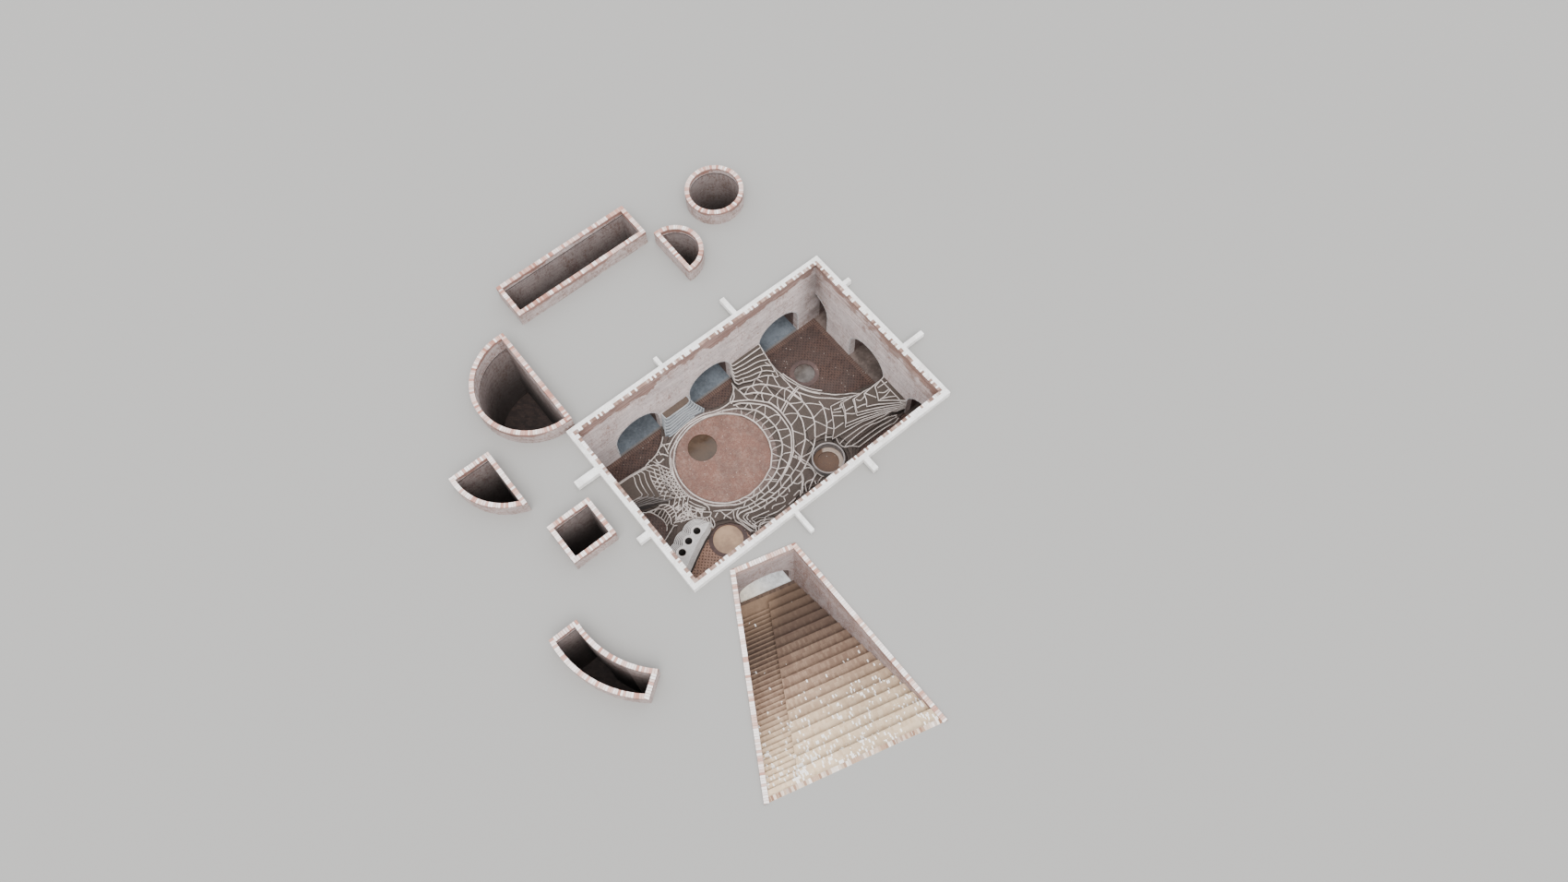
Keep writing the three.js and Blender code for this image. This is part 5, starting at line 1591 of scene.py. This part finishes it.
# Each wall's arches: their middles along it, the wall's length, a point across it and up it on the bricks' middle
# line, and the way that the bricks face
VOUSSOIR = (0.053, 0.07, 0.1)
OUT = VOUSSOIR[2] / 2 - 0.006
ARCH_ROWS = {
    "north": (LONG_SIDE_ARCHES, COURT_X, lambda along, z: site(along, COURT_Y - WALL + OUT, z), (0, -1, 0)),
    "south": (LONG_SIDE_ARCHES, COURT_X, lambda along, z: site(along, WALL - OUT, z), (0, 1, 0)),
    "east": (SHORT_SIDE_ARCHES, COURT_Y, lambda along, z: site(COURT_X - WALL + OUT, along, z), (-1, 0, 0)),
    "west": (SHORT_SIDE_ARCHES, COURT_Y, lambda along, z: site(WALL - OUT, along, z), (1, 0, 0)),
}
arch_finish = rim_brick("arch_brick", [(0.0, "8a8583"), (0.5, "a5a1a0"), (1.0, "bdbab9")], 0.3, "c9c6c5")
for seed, (side, (centres, length, place, up)) in enumerate(ARCH_ROWS.items()):
    lines = [arch_line(place, centre, WALL + 0.03, length - WALL - 0.03) for centre in centres]
    lay_bricks_along(side + "_arch_bricks", lines, VOUSSOIR, arch_finish, seed + 31, pitch=COURSE, up=up,
                     error=0.002)

# The stair pit's rims, which meet at its two back corners
BACK_OVERLAP = 0.03
foot_left, foot_right, end_right, end_left = pit_corners(
    header_level(STAIR_RIM), left=SKIN / 2, right=SKIN / 2, end=SKIN / 2)
lay_bricks_along("stair_rim_bricks", [
    resized([foot_left, end_left], -half, -BACK_OVERLAP),
    resized([end_left, end_right], -0.18, 0.18),
    resized([end_right, foot_right], -BACK_OVERLAP, half),
], header(SKIN + 0.006), pit_rim_finish, 41)

FOOT_LENGTH = 0.236
edge_left, edge_right = pit_corners(header_level(GROUND, 0.006), foot=0.12)[:2]
foot_finish = rim_brick("foot_brick", [(0.0, "835f4b"), (0.5, "aa8b74"), (0.85, "c9b19c"), (1.0, "efe6dc")], 0.3,
                        "efe6dc", (0.5, 0.6))
lay_bricks_along("foot_edge_bricks", [resized([edge_left, edge_right], -0.3, 0.3)], header(FOOT_LENGTH),
                 foot_finish, 43)


# ---- Camera, stage and light ----

# The photo's width and focal length in pixels, and where it was taken from
PHOTO_WIDTH, FOCAL_LENGTH = 1700, 1200
DRONE = (-5.796, -14.6685, 58.7)
HEADING, PITCH, ROLL = math.radians(38.25), math.radians(66.35), math.radians(-1.0)


def add_camera():
    """The drone's view: steep, level but for a degree of roll"""
    forward = Vector((math.cos(PITCH) * math.sin(HEADING), math.cos(PITCH) * math.cos(HEADING), -math.sin(PITCH)))
    right = Vector((math.cos(HEADING), -math.sin(HEADING), 0.0))
    up = right.cross(forward)
    across = right * math.cos(ROLL) + up * math.sin(ROLL)
    upward = up * math.cos(ROLL) - right * math.sin(ROLL)
    lens = bpy.data.cameras.new("drone_view")
    lens.sensor_width = 36.0
    lens.lens = lens.sensor_width * FOCAL_LENGTH / PHOTO_WIDTH
    lens.clip_end = 400.0
    camera = new_object("drone_view", lens)
    camera.matrix_world = Matrix.Translation(site(*DRONE)) @ Matrix((across, upward, -forward)).transposed().to_4x4()
    bpy.context.scene.camera = camera


STAGE_REACH = 90.0
TUCK = 0.08


def rectangle(low_x, low_y, high_x, high_y, level):
    return [site(x, y, level) for x, y in ((low_x, low_y), (high_x, low_y), (high_x, high_y), (low_x, high_y))]


def add_stage():
    """A plain pale floor at ground level, open over the court, the wells and the stair pit"""
    outlines = [rectangle(-STAGE_REACH, -STAGE_REACH, STAGE_REACH, STAGE_REACH, GROUND),
                rectangle(TUCK, TUCK, COURT_X - TUCK, COURT_Y - TUCK, GROUND),
                pit_corners(GROUND, left=TUCK, right=TUCK, end=TUCK)]
    for name in WELL_SHAFTS:
        outer = shaft_outlines(name)[-1]
        outlines.append([Vector((p.x, p.y, GROUND)) for p in offset_loop(outer, -TUCK)])
    points = [point for outline in outlines for point in outline]
    mesh = bpy.data.meshes.new("stage")
    mesh.from_pydata(points, [], [tuple(triangle) for triangle in tessellate_polygon(outlines)])
    shape = bmesh.new()
    shape.from_mesh(mesh)
    for face in shape.faces:
        if face.normal.z < 0:
            face.normal_flip()
    floor = new_object("stage", close_shape(shape, mesh))
    mesh.materials.append(Finish("stage_plain").surface((0.29, 0.28, 0.265, 1.0), 0.95))


def add_light():
    """A soft sky and a wide, weak sun"""
    world = bpy.data.worlds.new("studio")
    world.use_nodes = True
    background = world.node_tree.nodes["Background"]
    background.inputs["Color"].default_value = (0.93, 0.96, 1.0, 1.0)
    background.inputs["Strength"].default_value = 2.0
    bpy.context.scene.world = world
    lamp = bpy.data.lights.new("soft_sun", "SUN")
    lamp.energy = 3.8
    lamp.angle = math.radians(50)
    sun = new_object("soft_sun", lamp)
    sun.rotation_euler = Vector((-0.25, -0.45, 1.0)).to_track_quat("Z", "Y").to_euler()


add_camera()
add_stage()
add_light()
